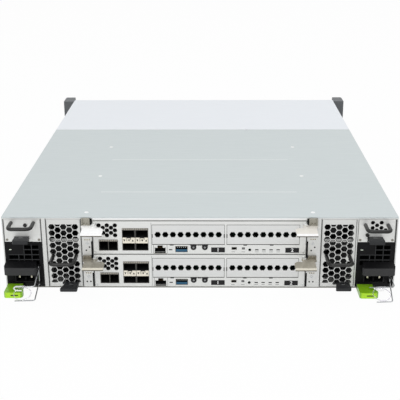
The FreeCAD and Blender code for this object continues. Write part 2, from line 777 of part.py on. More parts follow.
def canister_board(base):
    """A canister's circuit board with its sockets, heat sink, memory and rear connectors."""
    z = base + TRAY_T
    top = z + BOARD_T
    inset = TRAY_SIDE_GAP + TRAY_STEP_W + TRAY_T
    x0 = CANISTER_X + inset
    x1 = CANISTER_X + CANISTER_W - inset
    y0 = REAR + FACE_T + 0.1
    y1 = REAR + CANISTER_D - CONNECTOR_D
    solids = [box(x0, x1, y0, y1, z, top)]
    for (names, wall), depth in zip(CAGES, CAGE_DEPTH):
        solids.append(cage(base, names, wall, depth))
    solids.append(network_socket(base))
    solids.append(jack_row(base))
    middle_y = REAR + 0.61 * CANISTER_D
    solids.append(heat_sink(CANISTER_MID - 0.04 * CANISTER_W, middle_y, top))
    solids += memory_bank(CANISTER_MID + 0.21 * CANISTER_W, middle_y, top)
    for share in (-0.33, 0.25):
        middle = CANISTER_MID + share * CANISTER_W
        half = 0.1 * CANISTER_W
        solids.append(box(middle - half, middle + half, y1 - 8, y1 + CONNECTOR_D, top, top + 12))
    return group(solids)


def ejector_lever(base, side):
    """A flat nickel-plated lever on a canister: L-shaped plate, folded front edge and a channel root."""
    x = lever_pin_place(side)
    y = REAR - LEVER_PIN_OUT
    z0 = base + LEVER_Z
    z1 = z0 + LEVER_T
    front = REAR - LEVER_REACH
    outer = x + side * LEVER_OUTER_W
    tip = x - side * LEVER_TIP_W
    neck = x - side * 1.4
    clear = REAR - 1.0
    outline = [
        (outer, clear), (x, clear), (neck, y), (neck, front + LEVER_TIP_D),
        (tip, front + LEVER_TIP_D), (tip, front), (outer, front),
    ]
    plate = prism([(px, py, z0) for px, py in outline], (0, 0, LEVER_T))
    eye_boss = prism([(px, py, z0) for px, py in ring_points(x, y, 3.0, PUNCH_SIDES)], (0, 0, LEVER_T))
    bead = box(min(outer, tip), max(outer, tip), front, front + 1.6, z0 - LEVER_BEAD_H, z1)
    root_a = x + side * 5.6
    root_b = x + side * 14.6
    lo, hi = min(root_a, root_b), max(root_a, root_b)
    web = box(lo, hi, clear - 2.2, clear, z1, z1 + LEVER_ROOT_H)
    cheeks = [box(a, a + 1.2, clear - 11, clear, z1, z1 + LEVER_ROOT_H) for a in (lo, hi - 1.2)]
    eye = rod(x, y, z0 - 1, LEVER_PIN_R + PIN_FIT, (0, 0, LEVER_T + 2))
    return fuse([plate, eye_boss, bead, web] + cheeks).cut(eye)


# ---------------------------------------------------------------- power supplies

def inlet_x(x, outer):
    """Middle of a supply's mains inlet; outer is the side it sits towards, -1 or 1."""
    if outer < 0:
        return x + INLET_SHIFT
    return x + PSU_W - INLET_SHIFT - 0.5


def psu_grille(x, z):
    """Tools that leave the bars of a supply's intake grille."""
    y0 = REAR - 1
    y1 = REAR + BEZEL_T + GRILLE_DEPTH
    left = x + 3.2
    right = x + PSU_W - 3.6
    columns = [left, x + 14.8, x + 21.0, x + 29.8, right]
    rows = [z + share * PSU_H for share in GRILLE_ROWS]
    tools = []
    for c, (a, b) in enumerate(zip(columns, columns[1:])):
        for r, (low, high) in enumerate(zip(rows, rows[1:])):
            if r >= 2 and c < 2:
                continue
            tools.append(box(a + GRILLE_BAR / 2, b - GRILLE_BAR / 2, y0, y1, low, high - GRILLE_BAR))
    return tools


def inlet_hood(x, z, outer):
    """The hood over a mains inlet: rounded in plan, with a sloping top."""
    if outer < 0:
        x0 = x - HOOD_SIDE_OUT
    else:
        x0 = x + PSU_W + HOOD_SIDE_OUT - HOOD_W
    x1 = x0 + HOOD_W
    y = REAR - HOOD_OUT
    inset = HOOD_SIDE_OUT
    side = [(inset, REAR + 1), (inset, REAR), (0, y + 4.5), (0.6, y + 2), (2.2, y + 0.5), (4.8, y)]
    plan = [(x0 + dx, py) for dx, py in side] + [(x1 - dx, py) for dx, py in reversed(side)]
    block = prism([(px, py, z) for px, py in plan], (0, 0, PSU_H))
    back_low, back_high = (z + share * PSU_H for share in HOOD_BACK)
    low, high = (z + share * PSU_H for share in HOOD_FRONT)
    section = [
        (REAR + 1, back_low), (REAR, back_low), (y, low), (y, high - 1), (y + 1, high), (REAR, back_high),
        (REAR + 1, back_high),
    ]
    return block.common(prism([(x0, py, pz) for py, pz in section], (HOOD_W, 0, 0)))


def latch_channel(x, z, width, height, depth):
    """Room in a housing for a latch's arm and its sideways travel."""
    return box(x, x + width, REAR - 1, REAR + depth, z, z + height)


def psu_module(x, outer):
    """A power supply: housing with grille, hooded mains inlet and its three blades."""
    z = MODULE_Z
    housing = box(x, x + PSU_W, REAR, REAR + PSU_D, z, z + PSU_H)
    body = fuse([housing, inlet_hood(x, z, outer)])
    middle = inlet_x(x, outer)
    half = INLET_W / 2
    foot = z + INLET_Z
    socket = box(middle - half, middle + half, REAR - 1, REAR + INLET_DEPTH, foot, foot + INLET_H)
    channel = latch_channel(x + 1.2, z - 1, PSU_LATCH_W - 4 + LATCH_TRAVEL, 1 + 3.4, PSU_LATCH_ARM + 1)
    slim = box(x - 1, x + PSU_W + 1, REAR + BEZEL_T, REAR + PSU_D + 1, z + PSU_H - 0.2, z + PSU_H + 1)
    body = cut(body, psu_grille(x, z) + [socket, channel, slim])
    blade_y = REAR + 2.5
    blades = []
    for dx, dz in ((-PIN_PITCH / 2, 9.6), (PIN_PITCH / 2, 9.6), (0, 3.6)):
        bx = middle + dx
        bz = foot + dz
        blades.append(box(bx - 1, bx + 1, blade_y, REAR + INLET_DEPTH, bz - 2, bz + 2))
    edge = box(x + 6, x + PSU_W - 6, REAR + PSU_D, REAR + PSU_D + CONNECTOR_D, z + 20, z + 21.6)
    knuckle_x = bail_x(x, outer)
    pivots = [
        box(knuckle_x - 1.7, knuckle_x + 1.7, REAR - 7, REAR, z + h, z + h + 1.6)
        for h in (BAIL_PIVOT_LOW, bail_top(outer) - 4.4)
    ]
    low = z + BAIL_PIVOT_LOW - 1
    eye_r = (WIRE_R + PIN_FIT) / math.cos(math.pi / BAR_SIDES)
    corners = ring_points(knuckle_x, REAR - BAIL_AXIS_OUT, eye_r, BAR_SIDES)
    eye = prism([(px, py, low) for px, py in corners], (0, 0, z + bail_top(outer) + FIT - low))
    return group([cut(fuse([body] + pivots), [eye])] + blades + [edge])


def psu_latch(x):
    """A supply's sprung release tab: thumb pad outside, flat arm with a catch inside."""
    z = MODULE_Z
    z0 = 0.6
    pad_back = REAR - FIT
    pad_front = REAR - PSU_LATCH_OUT
    waist = pad_front + 11
    right = x + 1.2 + PSU_LATCH_W
    outline = [
        (x + 1.2, pad_back), (x + 1.2, pad_front + 2), (x + 3.2, pad_front),
        (right - 1.5, pad_front), (right + 0.8, pad_front + 2.5), (right + 0.8, waist - 3),
        (right - 2.6, waist), (right - 2.6, pad_back),
    ]
    pad = prism([(px, py, z0) for px, py in outline], (0, 0, PSU_LATCH_H))
    slot = box(right - 12, right - 4, pad_front - 1, pad_front + 2, z0 + 2.6, z0 + 3.9)
    arm = box(x + 1.5, x + PSU_LATCH_W - 3.1, pad_back - 4, REAR + PSU_LATCH_ARM, z + 0.6, z + 3.1)
    return fuse([pad.cut(slot), arm])


def bail_x(x, outer):
    """X of the upright axis that a supply's cord bail turns on."""
    if outer < 0:
        return x + PSU_W - 4.6
    return x + PSU_W - 3.4


def bail_top(outer):
    """Height of a bail's stem above its supply's base."""
    return BAIL_TOP[outer] * PSU_H


def cord_bail(x, outer):
    """A bent-wire cord keeper that swings on an upright axis."""
    z = MODULE_Z
    axis = bail_x(x, outer)
    y = REAR - BAIL_AXIS_OUT
    start = z + bail_top(outer) - (5.6 if outer < 0 else 0.7)
    stem = bent_bar([(axis, y, z + 4.0), (axis, y, z + bail_top(outer))], WIRE_R)
    bends = ((-0.14, 0.45, 11), (-0.86, 0.50, 9.6), (-1.33, 0.57, 8.6))
    upper = [(axis, y, start)]
    upper += [(axis + a * BAIL_REACH, REAR - b * BAIL_OUT, z + h) for a, b, h in bends]
    front = REAR - BAIL_OUT
    lower = [(axis, y, z + 8.8), (axis - 0.5, front, z + 2.2), (axis - BAIL_REACH, front - 1, z + 2)]
    return fuse([stem, bent_bar(upper, WIRE_R), bent_bar(lower, WIRE_R)])


def cord_tie(x, outer):
    """The clear ring that lies on the two ends of a bail's wires."""
    middle = V(bail_x(x, outer) - BAIL_REACH - 0.5, REAR - 0.8 * BAIL_OUT, MODULE_Z + 6.35)
    up = V(0, 1, BAIL_TIE_SLOPE).normalize()
    along = V(1, 0, 0).cross(up) * BAIL_TIE_H
    discs = []
    for r in (BAIL_TIE_R, BAIL_TIE_R - BAIL_TIE_T):
        corners = [middle + V(a, 0, 0) + up * b for a, b in ring_points(0, 0, r, TIE_SIDES)]
        discs.append(prism([(c.x, c.y, c.z) for c in corners], (along.x, along.y, along.z)))
    return discs[0].cut(discs[1])


# ---------------------------------------------------------------- batteries

BATTERY_VENTS = (
    # from the case's left side and base
    (16.0, 23.4), (25.8, 23.4), (20.9, 20.2), (16.1, 17.1), (25.9, 17.3), (20.8, 14.2), (30.7, 14.4),
)


def battery_module(x, vented):
    """A backup battery: closed case, folded face, status lens and grab handle."""
    z = BATTERY_Z
    z1 = z + BATTERY_H
    face = box(x, x + PSU_W, REAR, REAR + FACE_T, z, z1)
    case_z = z + SHELF_T + FIT
    case = box(x + 0.4, x + PSU_W - 0.4, REAR + FACE_T, REAR + PSU_D, case_z, z1)
    room_w = BATTERY_LATCH_W + LATCH_TRAVEL + 1
    latch_room = latch_channel(x + 11, case_z - 1, room_w, 1 + 5.4, BATTERY_LATCH_ARM + 1)
    front_room = box(x + 2, x + PSU_W - 2, REAR + FACE_T, REAR + 10, z + 9, z1 - 2)
    tools = [latch_room, front_room]
    if vented:
        for hx, hz in BATTERY_VENTS:
            tools.append(hexagon(x + hx, z + hz, BATTERY_HEX_AF, REAR - 1, REAR + 5))
    body = cut(fuse([face, case]), tools)
    handle_z = z + (23.0 if not vented else 20.6)
    middle = x + PSU_W / 2 + (0.4 if not vented else -0.5)
    handle = u_handle(middle, handle_z, BATTERY_HANDLE_W, BATTERY_HANDLE_OUT, REAR)
    lens_x, lens_z = (24.6, 20.2) if not vented else (10.6, 8.8)
    lens = rod(x + lens_x, REAR, z + lens_z, 2.2, (0, -1.2, 0))
    edge = box(x + 8, x + PSU_W - 8, REAR + PSU_D, REAR + PSU_D + CONNECTOR_D, z + 12, z + 13.6)
    return group([body, handle, lens, edge])


def battery_latch(x):
    """A battery's sprung release tab, wider towards the thumb."""
    z0 = BATTERY_Z + SHELF_T + FIT + 1.4
    left = x + 11 + LATCH_TRAVEL + 0.5
    right = left + BATTERY_LATCH_W
    pad_back = REAR - FIT
    front = REAR - BATTERY_LATCH_OUT
    outline = [
        (left, pad_back), (left - 3, front + 2), (left - 1, front),
        (right, front), (right + 1, pad_back),
    ]
    pad = prism([(px, py, z0 - 1.2) for px, py in outline], (0, 0, 5.2))
    arm = box(left + 0.5, right - 0.5, pad_back - 3, REAR + BATTERY_LATCH_ARM, z0, z0 + 3)
    return fuse([pad, arm])


# ---------------------------------------------------------------- fan modules

def fan_vents(x):
    """Hexagonal vents over a fan module's face, with solid places for the handle and the latch."""
    z = MODULE_Z
    tools = []
    middle = x + FAN_W / 2
    floor = z + 4.8
    roof = MODULE_TOP - FAN_VENT_TOP
    rows = math.ceil((roof - z) / FAN_HEX_ROW)
    for column in range(-2, 3):
        odd = column % 2
        first = 5.2 + (3.7 if odd else 0)
        for row in range(rows):
            hz = z + first + row * FAN_HEX_ROW
            rel = hz - z
            at_handle = abs(rel - FAN_HANDLE_Z) < 7
            if (at_handle and abs(column) != 0 and rel < 41) or hz > roof + 0.5:
                continue
            low = floor if hz - FAN_HEX_AF / 2 < floor else None
            high = roof if hz + FAN_HEX_AF / 2 > roof else None
            hx = middle + column * FAN_HEX_COLUMN
            tools.append(hexagon(hx, hz, FAN_HEX_AF, REAR - 1, REAR + FACE_T + 1, low, high))
    return tools


def fan_frame(x, z):
    """One fan's square frame: round duct, a bar that carries the motor, and the rotor's shaft."""
    y0 = REAR + FAN_FRAME_Y
    y1 = y0 + FAN_FRAME_D
    half_w = FAN_W / 2 - FAN_SHEET - 0.2
    half_h = FAN_PITCH / 2 - 0.1
    block = box(x - half_w, x + half_w, y0, y1, z - half_h, z + half_h)
    duct = prism(
        [(px, y0 - 1, pz) for px, pz in ring_points(x, z, FAN_BORE_R, DUCT_SIDES)], (0, FAN_FRAME_D + 2, 0)
    )
    strut = box(x - HUB_R, x + HUB_R, y1 - 3, y1, z - FAN_BORE_R - 0.5, z + FAN_BORE_R + 0.5)
    shaft = punched(x, z, SHAFT_R, y0 + 4, y1)
    return fuse([block.cut(duct), strut, shaft])


def fan_centre_z(level):
    """Height of a fan's axis; level 0 is the lower fan."""
    return MODULE_Z + FAN_SHEET + 0.2 + FAN_PITCH * (level + 0.5)


def fan_module(x):
    """A fan module: vented face, sheet duct, handle and two stacked fan frames."""
    z = MODULE_Z
    z1 = MODULE_TOP
    face = box(x, x + FAN_W, REAR, REAR + FACE_T, z, z1)
    duct = box(x, x + FAN_W, REAR + FACE_T, REAR + FAN_MODULE_D, z, z1)
    inside = box(
        x + FAN_SHEET, x + FAN_W - FAN_SHEET, REAR + FACE_T, REAR + FAN_MODULE_D + 1,
        z + FAN_SHEET, z1 - FAN_SHEET,
    )
    body = fuse([face, duct.cut(inside)])
    slot_x = fan_latch_x(x)
    slot = box(
        slot_x - LATCH_TRAVEL - FIT, slot_x + FAN_LATCH_W - 2 + FIT, REAR - 1, REAR + FACE_T + 0.5,
        z + 2.6 - FIT, z + 2.6 + 2.2 + FIT,
    )
    body = cut(body, fan_vents(x) + [slot])
    middle = x + FAN_W / 2
    handle = u_handle(middle, z + FAN_HANDLE_Z, FAN_HANDLE_W, FAN_HANDLE_OUT, REAR)
    frames = [fan_frame(middle, fan_centre_z(level)) for level in (0, 1)]
    return group([body, handle] + frames)


def fan_latch_x(x):
    """Left side of a fan module's release tab."""
    return x + FAN_W - 4.6 - FAN_LATCH_W


def fan_latch(x):
    """A fan module's sprung release tab, with its arm behind the face."""
    z0 = MODULE_Z + 2.6
    left = fan_latch_x(x)
    right = left + FAN_LATCH_W
    front = REAR - FAN_LATCH_OUT
    back = REAR - FIT
    outline = [
        (left + 1, back), (left, front + 3), (left + 3, front),
        (right - 3, front), (right, front + 3), (right - 1, back),
    ]
    pad = prism([(px, py, z0 - 0.6) for px, py in outline], (0, 0, FAN_LATCH_T))
    arm = box(left, right - 2, back - 3, REAR + FAN_LATCH_ARM, z0, z0 + 2.2)
    return fuse([pad, arm])


def fan_rotor(x, level):
    """A fan's rotor: hub and pitched blades."""
    z = fan_centre_z(level)
    y0 = REAR + FAN_FRAME_Y + 1.5
    y1 = REAR + FAN_FRAME_Y + FAN_FRAME_D - 3 - FIT
    hub = prism([(px, y0, pz) for px, pz in ring_points(x, z, HUB_R, 2 * BLADES)], (0, y1 - y0, 0))
    middle = (y0 + y1) / 2
    blade = blade_at(x, middle, z)
    blades = []
    for n in range(BLADES):
        turned = blade.copy()
        turned.rotate(V(x, middle, z), V(0, 1, 0), n * 360 / BLADES)
        blades.append(turned)
    bore = rod(x, y0 + 2, z, SHAFT_R + PIN_FIT, (0, y1 - y0, 0))
    return fuse([hub] + blades).cut(bore)


def blade_at(x, y, z):
    """One pitched blade, wider at the tip, that stays inside the rotor's circle."""
    turn = math.radians(BLADE_PITCH)
    along = V(math.sin(turn), math.cos(turn), 0)
    across = V(math.cos(turn), -math.sin(turn), 0) * BLADE_T
    sweep = BLADE_TIP / 2 * math.sin(turn) + BLADE_T
    tip = math.sqrt(ROTOR_R ** 2 - sweep ** 2)
    root = V(x, y, z + HUB_R - 1.5) - across / 2
    end = V(x, y, z + tip) - across / 2
    corners = [
        root - along * BLADE_ROOT / 2, root + along * BLADE_ROOT / 2,
        end + along * BLADE_TIP / 2, end - along * BLADE_TIP / 2,
    ]
    return prism([(c.x, c.y, c.z) for c in corners], (across.x, across.y, across.z))


# ---------------------------------------------------------------- all nodes

def nodes():
    """Every sub-part by name."""
    made = {
        "chassis_tub": chassis_tub(),
        "rear_cover": rear_cover(),
        "front_cover": front_cover(),
        "case_screws": case_screws(),
        "left_ear": rack_ear(-1),
        "right_ear": rack_ear(1),
        "drive_cage": drive_cage(),
        "midplane": midplane(),
    }
    for row in range(ROWS):
        for column in range(COLUMNS):
            name = "drive_%02d" % (row * COLUMNS + column + 1)
            made[name] = drive(column_x(column), row_z(row))
            made[name + "_lever"] = drive_lever(column_x(column), row_z(row))
    for level, base in CANISTER_BASE.items():
        made[level + "_canister_tray"] = canister_tray(base)
        made[level + "_canister_board"] = canister_board(base)
        made[level + "_slot_covers"] = slot_covers(base)
        made[level + "_left_lever"] = ejector_lever(base, -1)
        made[level + "_right_lever"] = ejector_lever(base, 1)
    sides = (("left", LEFT_PSU_X, LEFT_FAN_X, -1), ("right", RIGHT_PSU_X, RIGHT_FAN_X, 1))
    for side, x, fan_x, outer in sides:
        made[side + "_psu"] = psu_module(x, outer)
        made[side + "_psu_latch"] = psu_latch(x)
        made[side + "_cord_bail"] = group([cord_bail(x, outer), cord_tie(x, outer)])
        made[side + "_battery"] = battery_module(x, outer > 0)
        made[side + "_battery_latch"] = battery_latch(x)
        made[side + "_fan_module"] = fan_module(fan_x)
        made[side + "_fan_latch"] = fan_latch(fan_x)
        for level, name in ((0, "lower"), (1, "upper")):
            made["%s_%s_rotor" % (side, name)] = fan_rotor(fan_x + FAN_W / 2, level)
    return made


os.makedirs("parts", exist_ok=True)
for name, shape in nodes().items():
    shape.exportStep("parts/%s.step" % name)
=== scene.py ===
import math
from functools import partial

import bmesh
import bpy
from mathutils import Matrix, Vector


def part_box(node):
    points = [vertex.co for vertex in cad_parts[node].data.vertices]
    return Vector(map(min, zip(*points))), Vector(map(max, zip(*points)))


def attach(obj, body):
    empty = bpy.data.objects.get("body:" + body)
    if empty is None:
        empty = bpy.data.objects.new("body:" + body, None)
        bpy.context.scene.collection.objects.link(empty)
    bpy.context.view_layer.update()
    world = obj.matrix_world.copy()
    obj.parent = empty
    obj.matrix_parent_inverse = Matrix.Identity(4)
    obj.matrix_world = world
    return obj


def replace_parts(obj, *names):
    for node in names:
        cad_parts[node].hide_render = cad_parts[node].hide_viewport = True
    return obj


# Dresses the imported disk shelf: finishes for its solids, and the small pieces that the solids
# leave out. Metres; -Y is the rear side with the sockets. Sizes are written in millimetres.

MM = 0.001
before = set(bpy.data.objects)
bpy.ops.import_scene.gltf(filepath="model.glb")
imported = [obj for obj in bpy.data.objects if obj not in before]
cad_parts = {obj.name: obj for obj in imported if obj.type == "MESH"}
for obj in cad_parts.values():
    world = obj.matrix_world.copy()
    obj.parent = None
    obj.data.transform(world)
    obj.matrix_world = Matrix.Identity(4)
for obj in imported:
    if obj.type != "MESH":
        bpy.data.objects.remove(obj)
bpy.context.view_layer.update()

# ---------------- places from the frame

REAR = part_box("rear_cover")[0].y
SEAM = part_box("rear_cover")[1].y
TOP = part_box("rear_cover")[1].z
HALF_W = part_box("chassis_tub")[1].x
LEVELS = ("lower", "upper")
SIDES = ("left", "right")
TRAY = {lv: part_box(lv + "_canister_tray") for lv in LEVELS}
BATTERY = {s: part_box(s + "_battery") for s in SIDES}
FAN = {s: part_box(s + "_fan_module") for s in SIDES}
SUPPLY = {s: Vector((BATTERY[s][0].x, 0, FAN["left"][0].z)) for s in SIDES}
OUTWARD = Vector((0, -1, 0))
UP = Vector((0, 0, 1))


def beside(corner, x, out, z):
    """A place in millimetres: across from a corner, out from the rear plane, up from the corner."""
    return Vector((corner.x + x * MM, REAR - out * MM, corner.z + z * MM))


def at(x, out, z):
    """A place across from the shelf's middle and up from its foot."""
    return beside(Vector(), x, out, z)


def on_face(level, x, out, z):
    """A place on a canister's face, from its left edge and base."""
    return beside(TRAY[level][0], x, out, z)


def shifted(corner, x, y, z):
    """A place so many millimetres from a corner."""
    return corner + Vector((x, y, z)) * MM


def size_of(box):
    """Width and height of a module's face, in millimetres."""
    return (box[1].x - box[0].x) / MM, (box[1].z - box[0].z) / MM


# ---------------- finishes

GRAIN = 900.0


def tone(code):
    """A display colour as the linear values that the shaders take."""
    parts = (int(code[n:n + 2], 16) / 255 for n in (1, 3, 5))
    return (*(c / 12.92 if c <= 0.04045 else ((c + 0.055) / 1.055) ** 2.4 for c in parts), 1.0)


def feed(tree, made, inputs):
    """Give a node's inputs their values, or join them to other nodes' outputs."""
    for name, value in inputs.items():
        if isinstance(value, bpy.types.NodeSocket):
            tree.links.new(value, made.inputs[name])
        else:
            made.inputs[name].default_value = value


def node(tree, kind, inputs=None, **settings):
    """A new node with its settings and inputs."""
    made = tree.nodes.new(kind)
    for name, value in settings.items():
        setattr(made, name, value)
    feed(tree, made, inputs or {})
    return made


def maths(tree, operation, a, b):
    """One step of arithmetic on two values."""
    return node(tree, "ShaderNodeMath", {0: a, 1: b}, operation=operation).outputs[0]


def blank(name):
    """An empty material with its shader and output joined."""
    made = bpy.data.materials.new(name)
    made.use_nodes = True
    tree = made.node_tree
    tree.nodes.clear()
    shader = node(tree, "ShaderNodeBsdfPrincipled")
    node(tree, "ShaderNodeOutputMaterial", {"Surface": shader.outputs["BSDF"]})
    return made, tree, shader


def place_node(tree, stretch=(1, 1, 1)):
    """Object coordinates, stretched along the axes."""
    coords = node(tree, "ShaderNodeTexCoord").outputs["Object"]
    return node(tree, "ShaderNodeMapping", {"Vector": coords, "Scale": stretch}).outputs["Vector"]


def noise(tree, scale, detail, stretch=(1, 1, 1)):
    """A noise value between 0 and 1 over the piece."""
    values = {"Vector": place_node(tree, stretch), "Scale": scale, "Detail": detail}
    return node(tree, "ShaderNodeTexNoise", values).outputs["Fac"]


def spread(tree, value, low, high):
    """A value stretched to a range, from the middle part of a noise."""
    ends = {"Value": value, "From Min": 0.3, "From Max": 0.7, "To Min": low, "To Max": high}
    return node(tree, "ShaderNodeMapRange", ends).outputs["Result"]


def mixed(tree, kind, factor, a, b):
    """Mix two values or colours; each side is a socket or a constant."""
    made = node(tree, "ShaderNodeMix", {0: factor}, data_type=kind)
    first, second = [n for n, socket in enumerate(made.inputs) if socket.enabled][1:]
    feed(tree, made, {first: a, second: b})
    return next(s for s in made.outputs if s.enabled)


def shade(colour, k):
    """A colour made lighter or darker."""
    return tuple(min(1.0, c * k) for c in colour[:3]) + (1.0,)


def zone_group():
    """A node group that says whether a point lies inside a box."""
    tree = bpy.data.node_groups.new("inside_box", "ShaderNodeTree")
    for name in ("Point", "Low", "High"):
        tree.interface.new_socket(name, in_out="INPUT", socket_type="NodeSocketVector")
    tree.interface.new_socket("Inside", in_out="OUTPUT", socket_type="NodeSocketFloat")
    gate = node(tree, "NodeGroupInput").outputs

    def vectors(operation, a, b):
        return node(tree, "ShaderNodeVectorMath", {0: a, 1: b}, operation=operation).outputs[0]
    above = vectors("SUBTRACT", gate["Point"], gate["Low"])
    below = vectors("SUBTRACT", gate["High"], gate["Point"])
    x, y, z = node(tree, "ShaderNodeSeparateXYZ", {0: vectors("MINIMUM", above, below)}).outputs
    least = maths(tree, "MINIMUM", maths(tree, "MINIMUM", x, y), z)
    node(tree, "NodeGroupOutput", {"Inside": maths(tree, "GREATER_THAN", least, 0.0)})
    return tree


INSIDE_BOX = zone_group()


def surface(name, code, rough, metal, uneven=0.03, patch=18.0, stretch=(1, 1, 1), relief=0.05,
            zones=(), coat=0.0, gloss=0.5):
    """A finish with its own mottling, fine grain and relief, and other finishes in stated boxes."""
    made, tree, shader = blank(name)
    colour = tone(code)
    patches = noise(tree, patch, 3.0)
    fine = noise(tree, GRAIN, 2.0, stretch)
    col = mixed(tree, "RGBA", patches, shade(colour, 1 - uneven), shade(colour, 1 + uneven))
    col = mixed(tree, "RGBA", spread(tree, fine, 0.0, 0.5), col, shade(colour, 1 - 2 * uneven))
    roughness = spread(tree, fine, rough * 0.85, min(1.0, rough * 1.15))
    place = place_node(tree) if zones else None
    for low, high, other, other_rough, other_metal in zones:
        box = {"Point": place, "Low": low, "High": high}
        inside = node(tree, "ShaderNodeGroup", box, node_tree=INSIDE_BOX).outputs["Inside"]
        col = mixed(tree, "RGBA", inside, col, tone(other))
        roughness = mixed(tree, "FLOAT", inside, roughness, other_rough)
        metal = mixed(tree, "FLOAT", inside, metal, other_metal)
    bump = node(tree, "ShaderNodeBump", {"Strength": relief, "Distance": 0.3 * MM, "Height": fine})
    feed(tree, shader, {
        "Base Color": col, "Roughness": roughness, "Metallic": metal, "Coat Weight": coat,
        "Specular IOR Level": gloss, "Normal": bump.outputs["Normal"],
    })
    return made


def brushed(name, code, rough=0.42, metal=0.5, along="x", **more):
    """Zinc-coated or nickel-plated sheet with a faint rolling direction."""
    stretch = {"x": (0.04, 1, 1), "y": (1, 0.04, 1), "z": (1, 1, 0.04)}[along]
    return surface(name, code, rough, metal, stretch=stretch, **more)


def clear_plastic(name, code):
    """A thin clear moulding."""
    made, tree, shader = blank(name)
    haze = noise(tree, 300.0, 2.0)
    feed(tree, shader, {
        "Base Color": mixed(tree, "RGBA", haze, tone(code), shade(tone(code), 0.94)),
        "Roughness": spread(tree, haze, 0.08, 0.2),
        "Transmission Weight": 0.75, "IOR": 1.46, "Alpha": 0.4,
    })
    return made


def lamp_lens(name, code):
    """A small indicator's lens, unlit."""
    return surface(name, code, 0.2, 0.0, uneven=0.02, coat=0.4)


# ---------------- shapes

def shape():
    """A new mesh to build a piece in."""
    return bmesh.new()


def box_of(a, b):
    """Lowest and highest corner of two opposite corners."""
    return Vector(map(min, a, b)), Vector(map(max, a, b))


def eased(bm, faces, ease, mat):
    """Give new faces their finish, and ease their edges by so many millimetres."""
    for f in faces:
        f.material_index = mat
    if ease:
        edges = list({e for f in faces for e in f.edges})
        bmesh.ops.bevel(
            bm, geom=edges, offset=ease * MM, segments=2, affect="EDGES", profile=0.6, material=mat,
        )


def block(bm, a, b, ease=0.0, mat=0):
    """A block between two opposite corners, its edges eased."""
    low, high = box_of(a, b)
    size = high - low
    verts = bmesh.ops.create_cube(bm, size=1.0)["verts"]
    for v in verts:
        v.co = Vector(low[n] + (v.co[n] + 0.5) * size[n] for n in range(3))
    eased(bm, list({f for v in verts for f in v.link_faces}), ease, mat)


def ring_faces(bm, a, b):
    """The faces between two rings of points."""
    faces = []
    for n in range(len(a)):
        k = (n + 1) % len(a)
        faces.append(bm.faces.new([a[n], a[k], b[k], b[n]]))
    return faces


def prism(bm, outline, along, ease=0.0):
    """An outline pushed along a vector and closed, its edges eased."""
    near = [bm.verts.new(p) for p in outline]
    far = [bm.verts.new(p + Vector(along)) for p in outline]
    faces = [bm.faces.new(near), bm.faces.new(list(reversed(far)))] + ring_faces(bm, far, near)
    bmesh.ops.recalc_face_normals(bm, faces=faces)
    eased(bm, faces, ease, 0)


def circle(centre, side, up, r, count):
    """Points round a circle in the plane of two directions, its radius in millimetres."""
    turns = [2 * math.pi * n / count for n in range(count)]
    return [centre + (side * math.cos(t) + up * math.sin(t)) * (r * MM) for t in turns]


def turned(bm, centre, axis, profile, sides=24, mat=0):
    """A round body about an axis from (radius, height) pairs in millimetres, closed at both ends."""
    side = axis.orthogonal().normalized()
    up = axis.cross(side)
    rings = []
    for r, h in profile:
        rings.append([bm.verts.new(p) for p in circle(centre + axis * (h * MM), side, up, r, sides)])
    faces = [bm.faces.new(list(reversed(rings[0]))), bm.faces.new(rings[-1])]
    for a, b in zip(rings, rings[1:]):
        faces += ring_faces(bm, a, b)
    bmesh.ops.recalc_face_normals(bm, faces=faces)
    eased(bm, faces, 0.0, mat)


def screw_head(bm, centre, r, high):
    """A low round head on the rear side, with a six-sided recess in the second finish, which is painted
    shade.
    """
    drive = r * 0.55
    turned(bm, centre, OUTWARD, [(r * 0.98, 0), (r, high * 0.4), (r * 0.86, high), (drive, high)], 20)
    recess = [(drive * 0.98, -high * 0.2), (drive * 0.3, high * 0.02)]
    turned(bm, centre + OUTWARD * (high * MM), OUTWARD, recess, 6, 1)


def mesh_of(name, bm):
    """The plain mesh of a shape, which is then let go."""
    mesh = bpy.data.meshes.new(name)
    bm.to_mesh(mesh)
    bm.free()
    return mesh


def linked(name, data):
    """A new object in the scene."""
    made = bpy.data.objects.new(name, data)
    bpy.context.scene.collection.objects.link(made)
    return made


def piece(name, bm, body, *finishes):
    """A finished mesh that rides on a body."""
    return settle(name, mesh_of(name, bm), body, *finishes)


def settle(name, mesh, body, *finishes):
    """Give a mesh its finishes and its body."""
    picks = [f.material_index for f in mesh.polygons]
    mesh.materials.clear()
    for finish in finishes:
        mesh.materials.append(finish)
    mesh.polygons.foreach_set("material_index", picks)
    made = linked(name, mesh)
    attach(made, body)
    return made


def stand_in(made, node_name):
    """Shade a piece smooth and let it stand for the solid of its node."""
    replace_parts(smooth(made), node_name)


def rounded(points, bend, steps=6):
    """A path through points with each corner rounded to so many millimetres."""
    pts = [Vector(p) for p in points]
    path = [pts[0]]
    for before, corner, after in zip(pts, pts[1:], pts[2:]):
        back, ahead = (before - corner).normalized(), (after - corner).normalized()
        half = back.angle(ahead) / 2
        sides = (before - corner).length * 0.49, (after - corner).length * 0.49
        reach = min(bend * MM / math.tan(half), *sides)
        r = reach * math.tan(half)
        middle = corner + (back + ahead).normalized() * (r / math.sin(half))
        enter, leave = corner + back * reach - middle, corner + ahead * reach - middle
        turn = enter.angle(leave)
        for n in range(steps + 1):
            t = n / steps
            arm = (enter * math.sin((1 - t) * turn) + leave * math.sin(t * turn)) / math.sin(turn)
            path.append(middle + arm)
    return path + [pts[-1]]


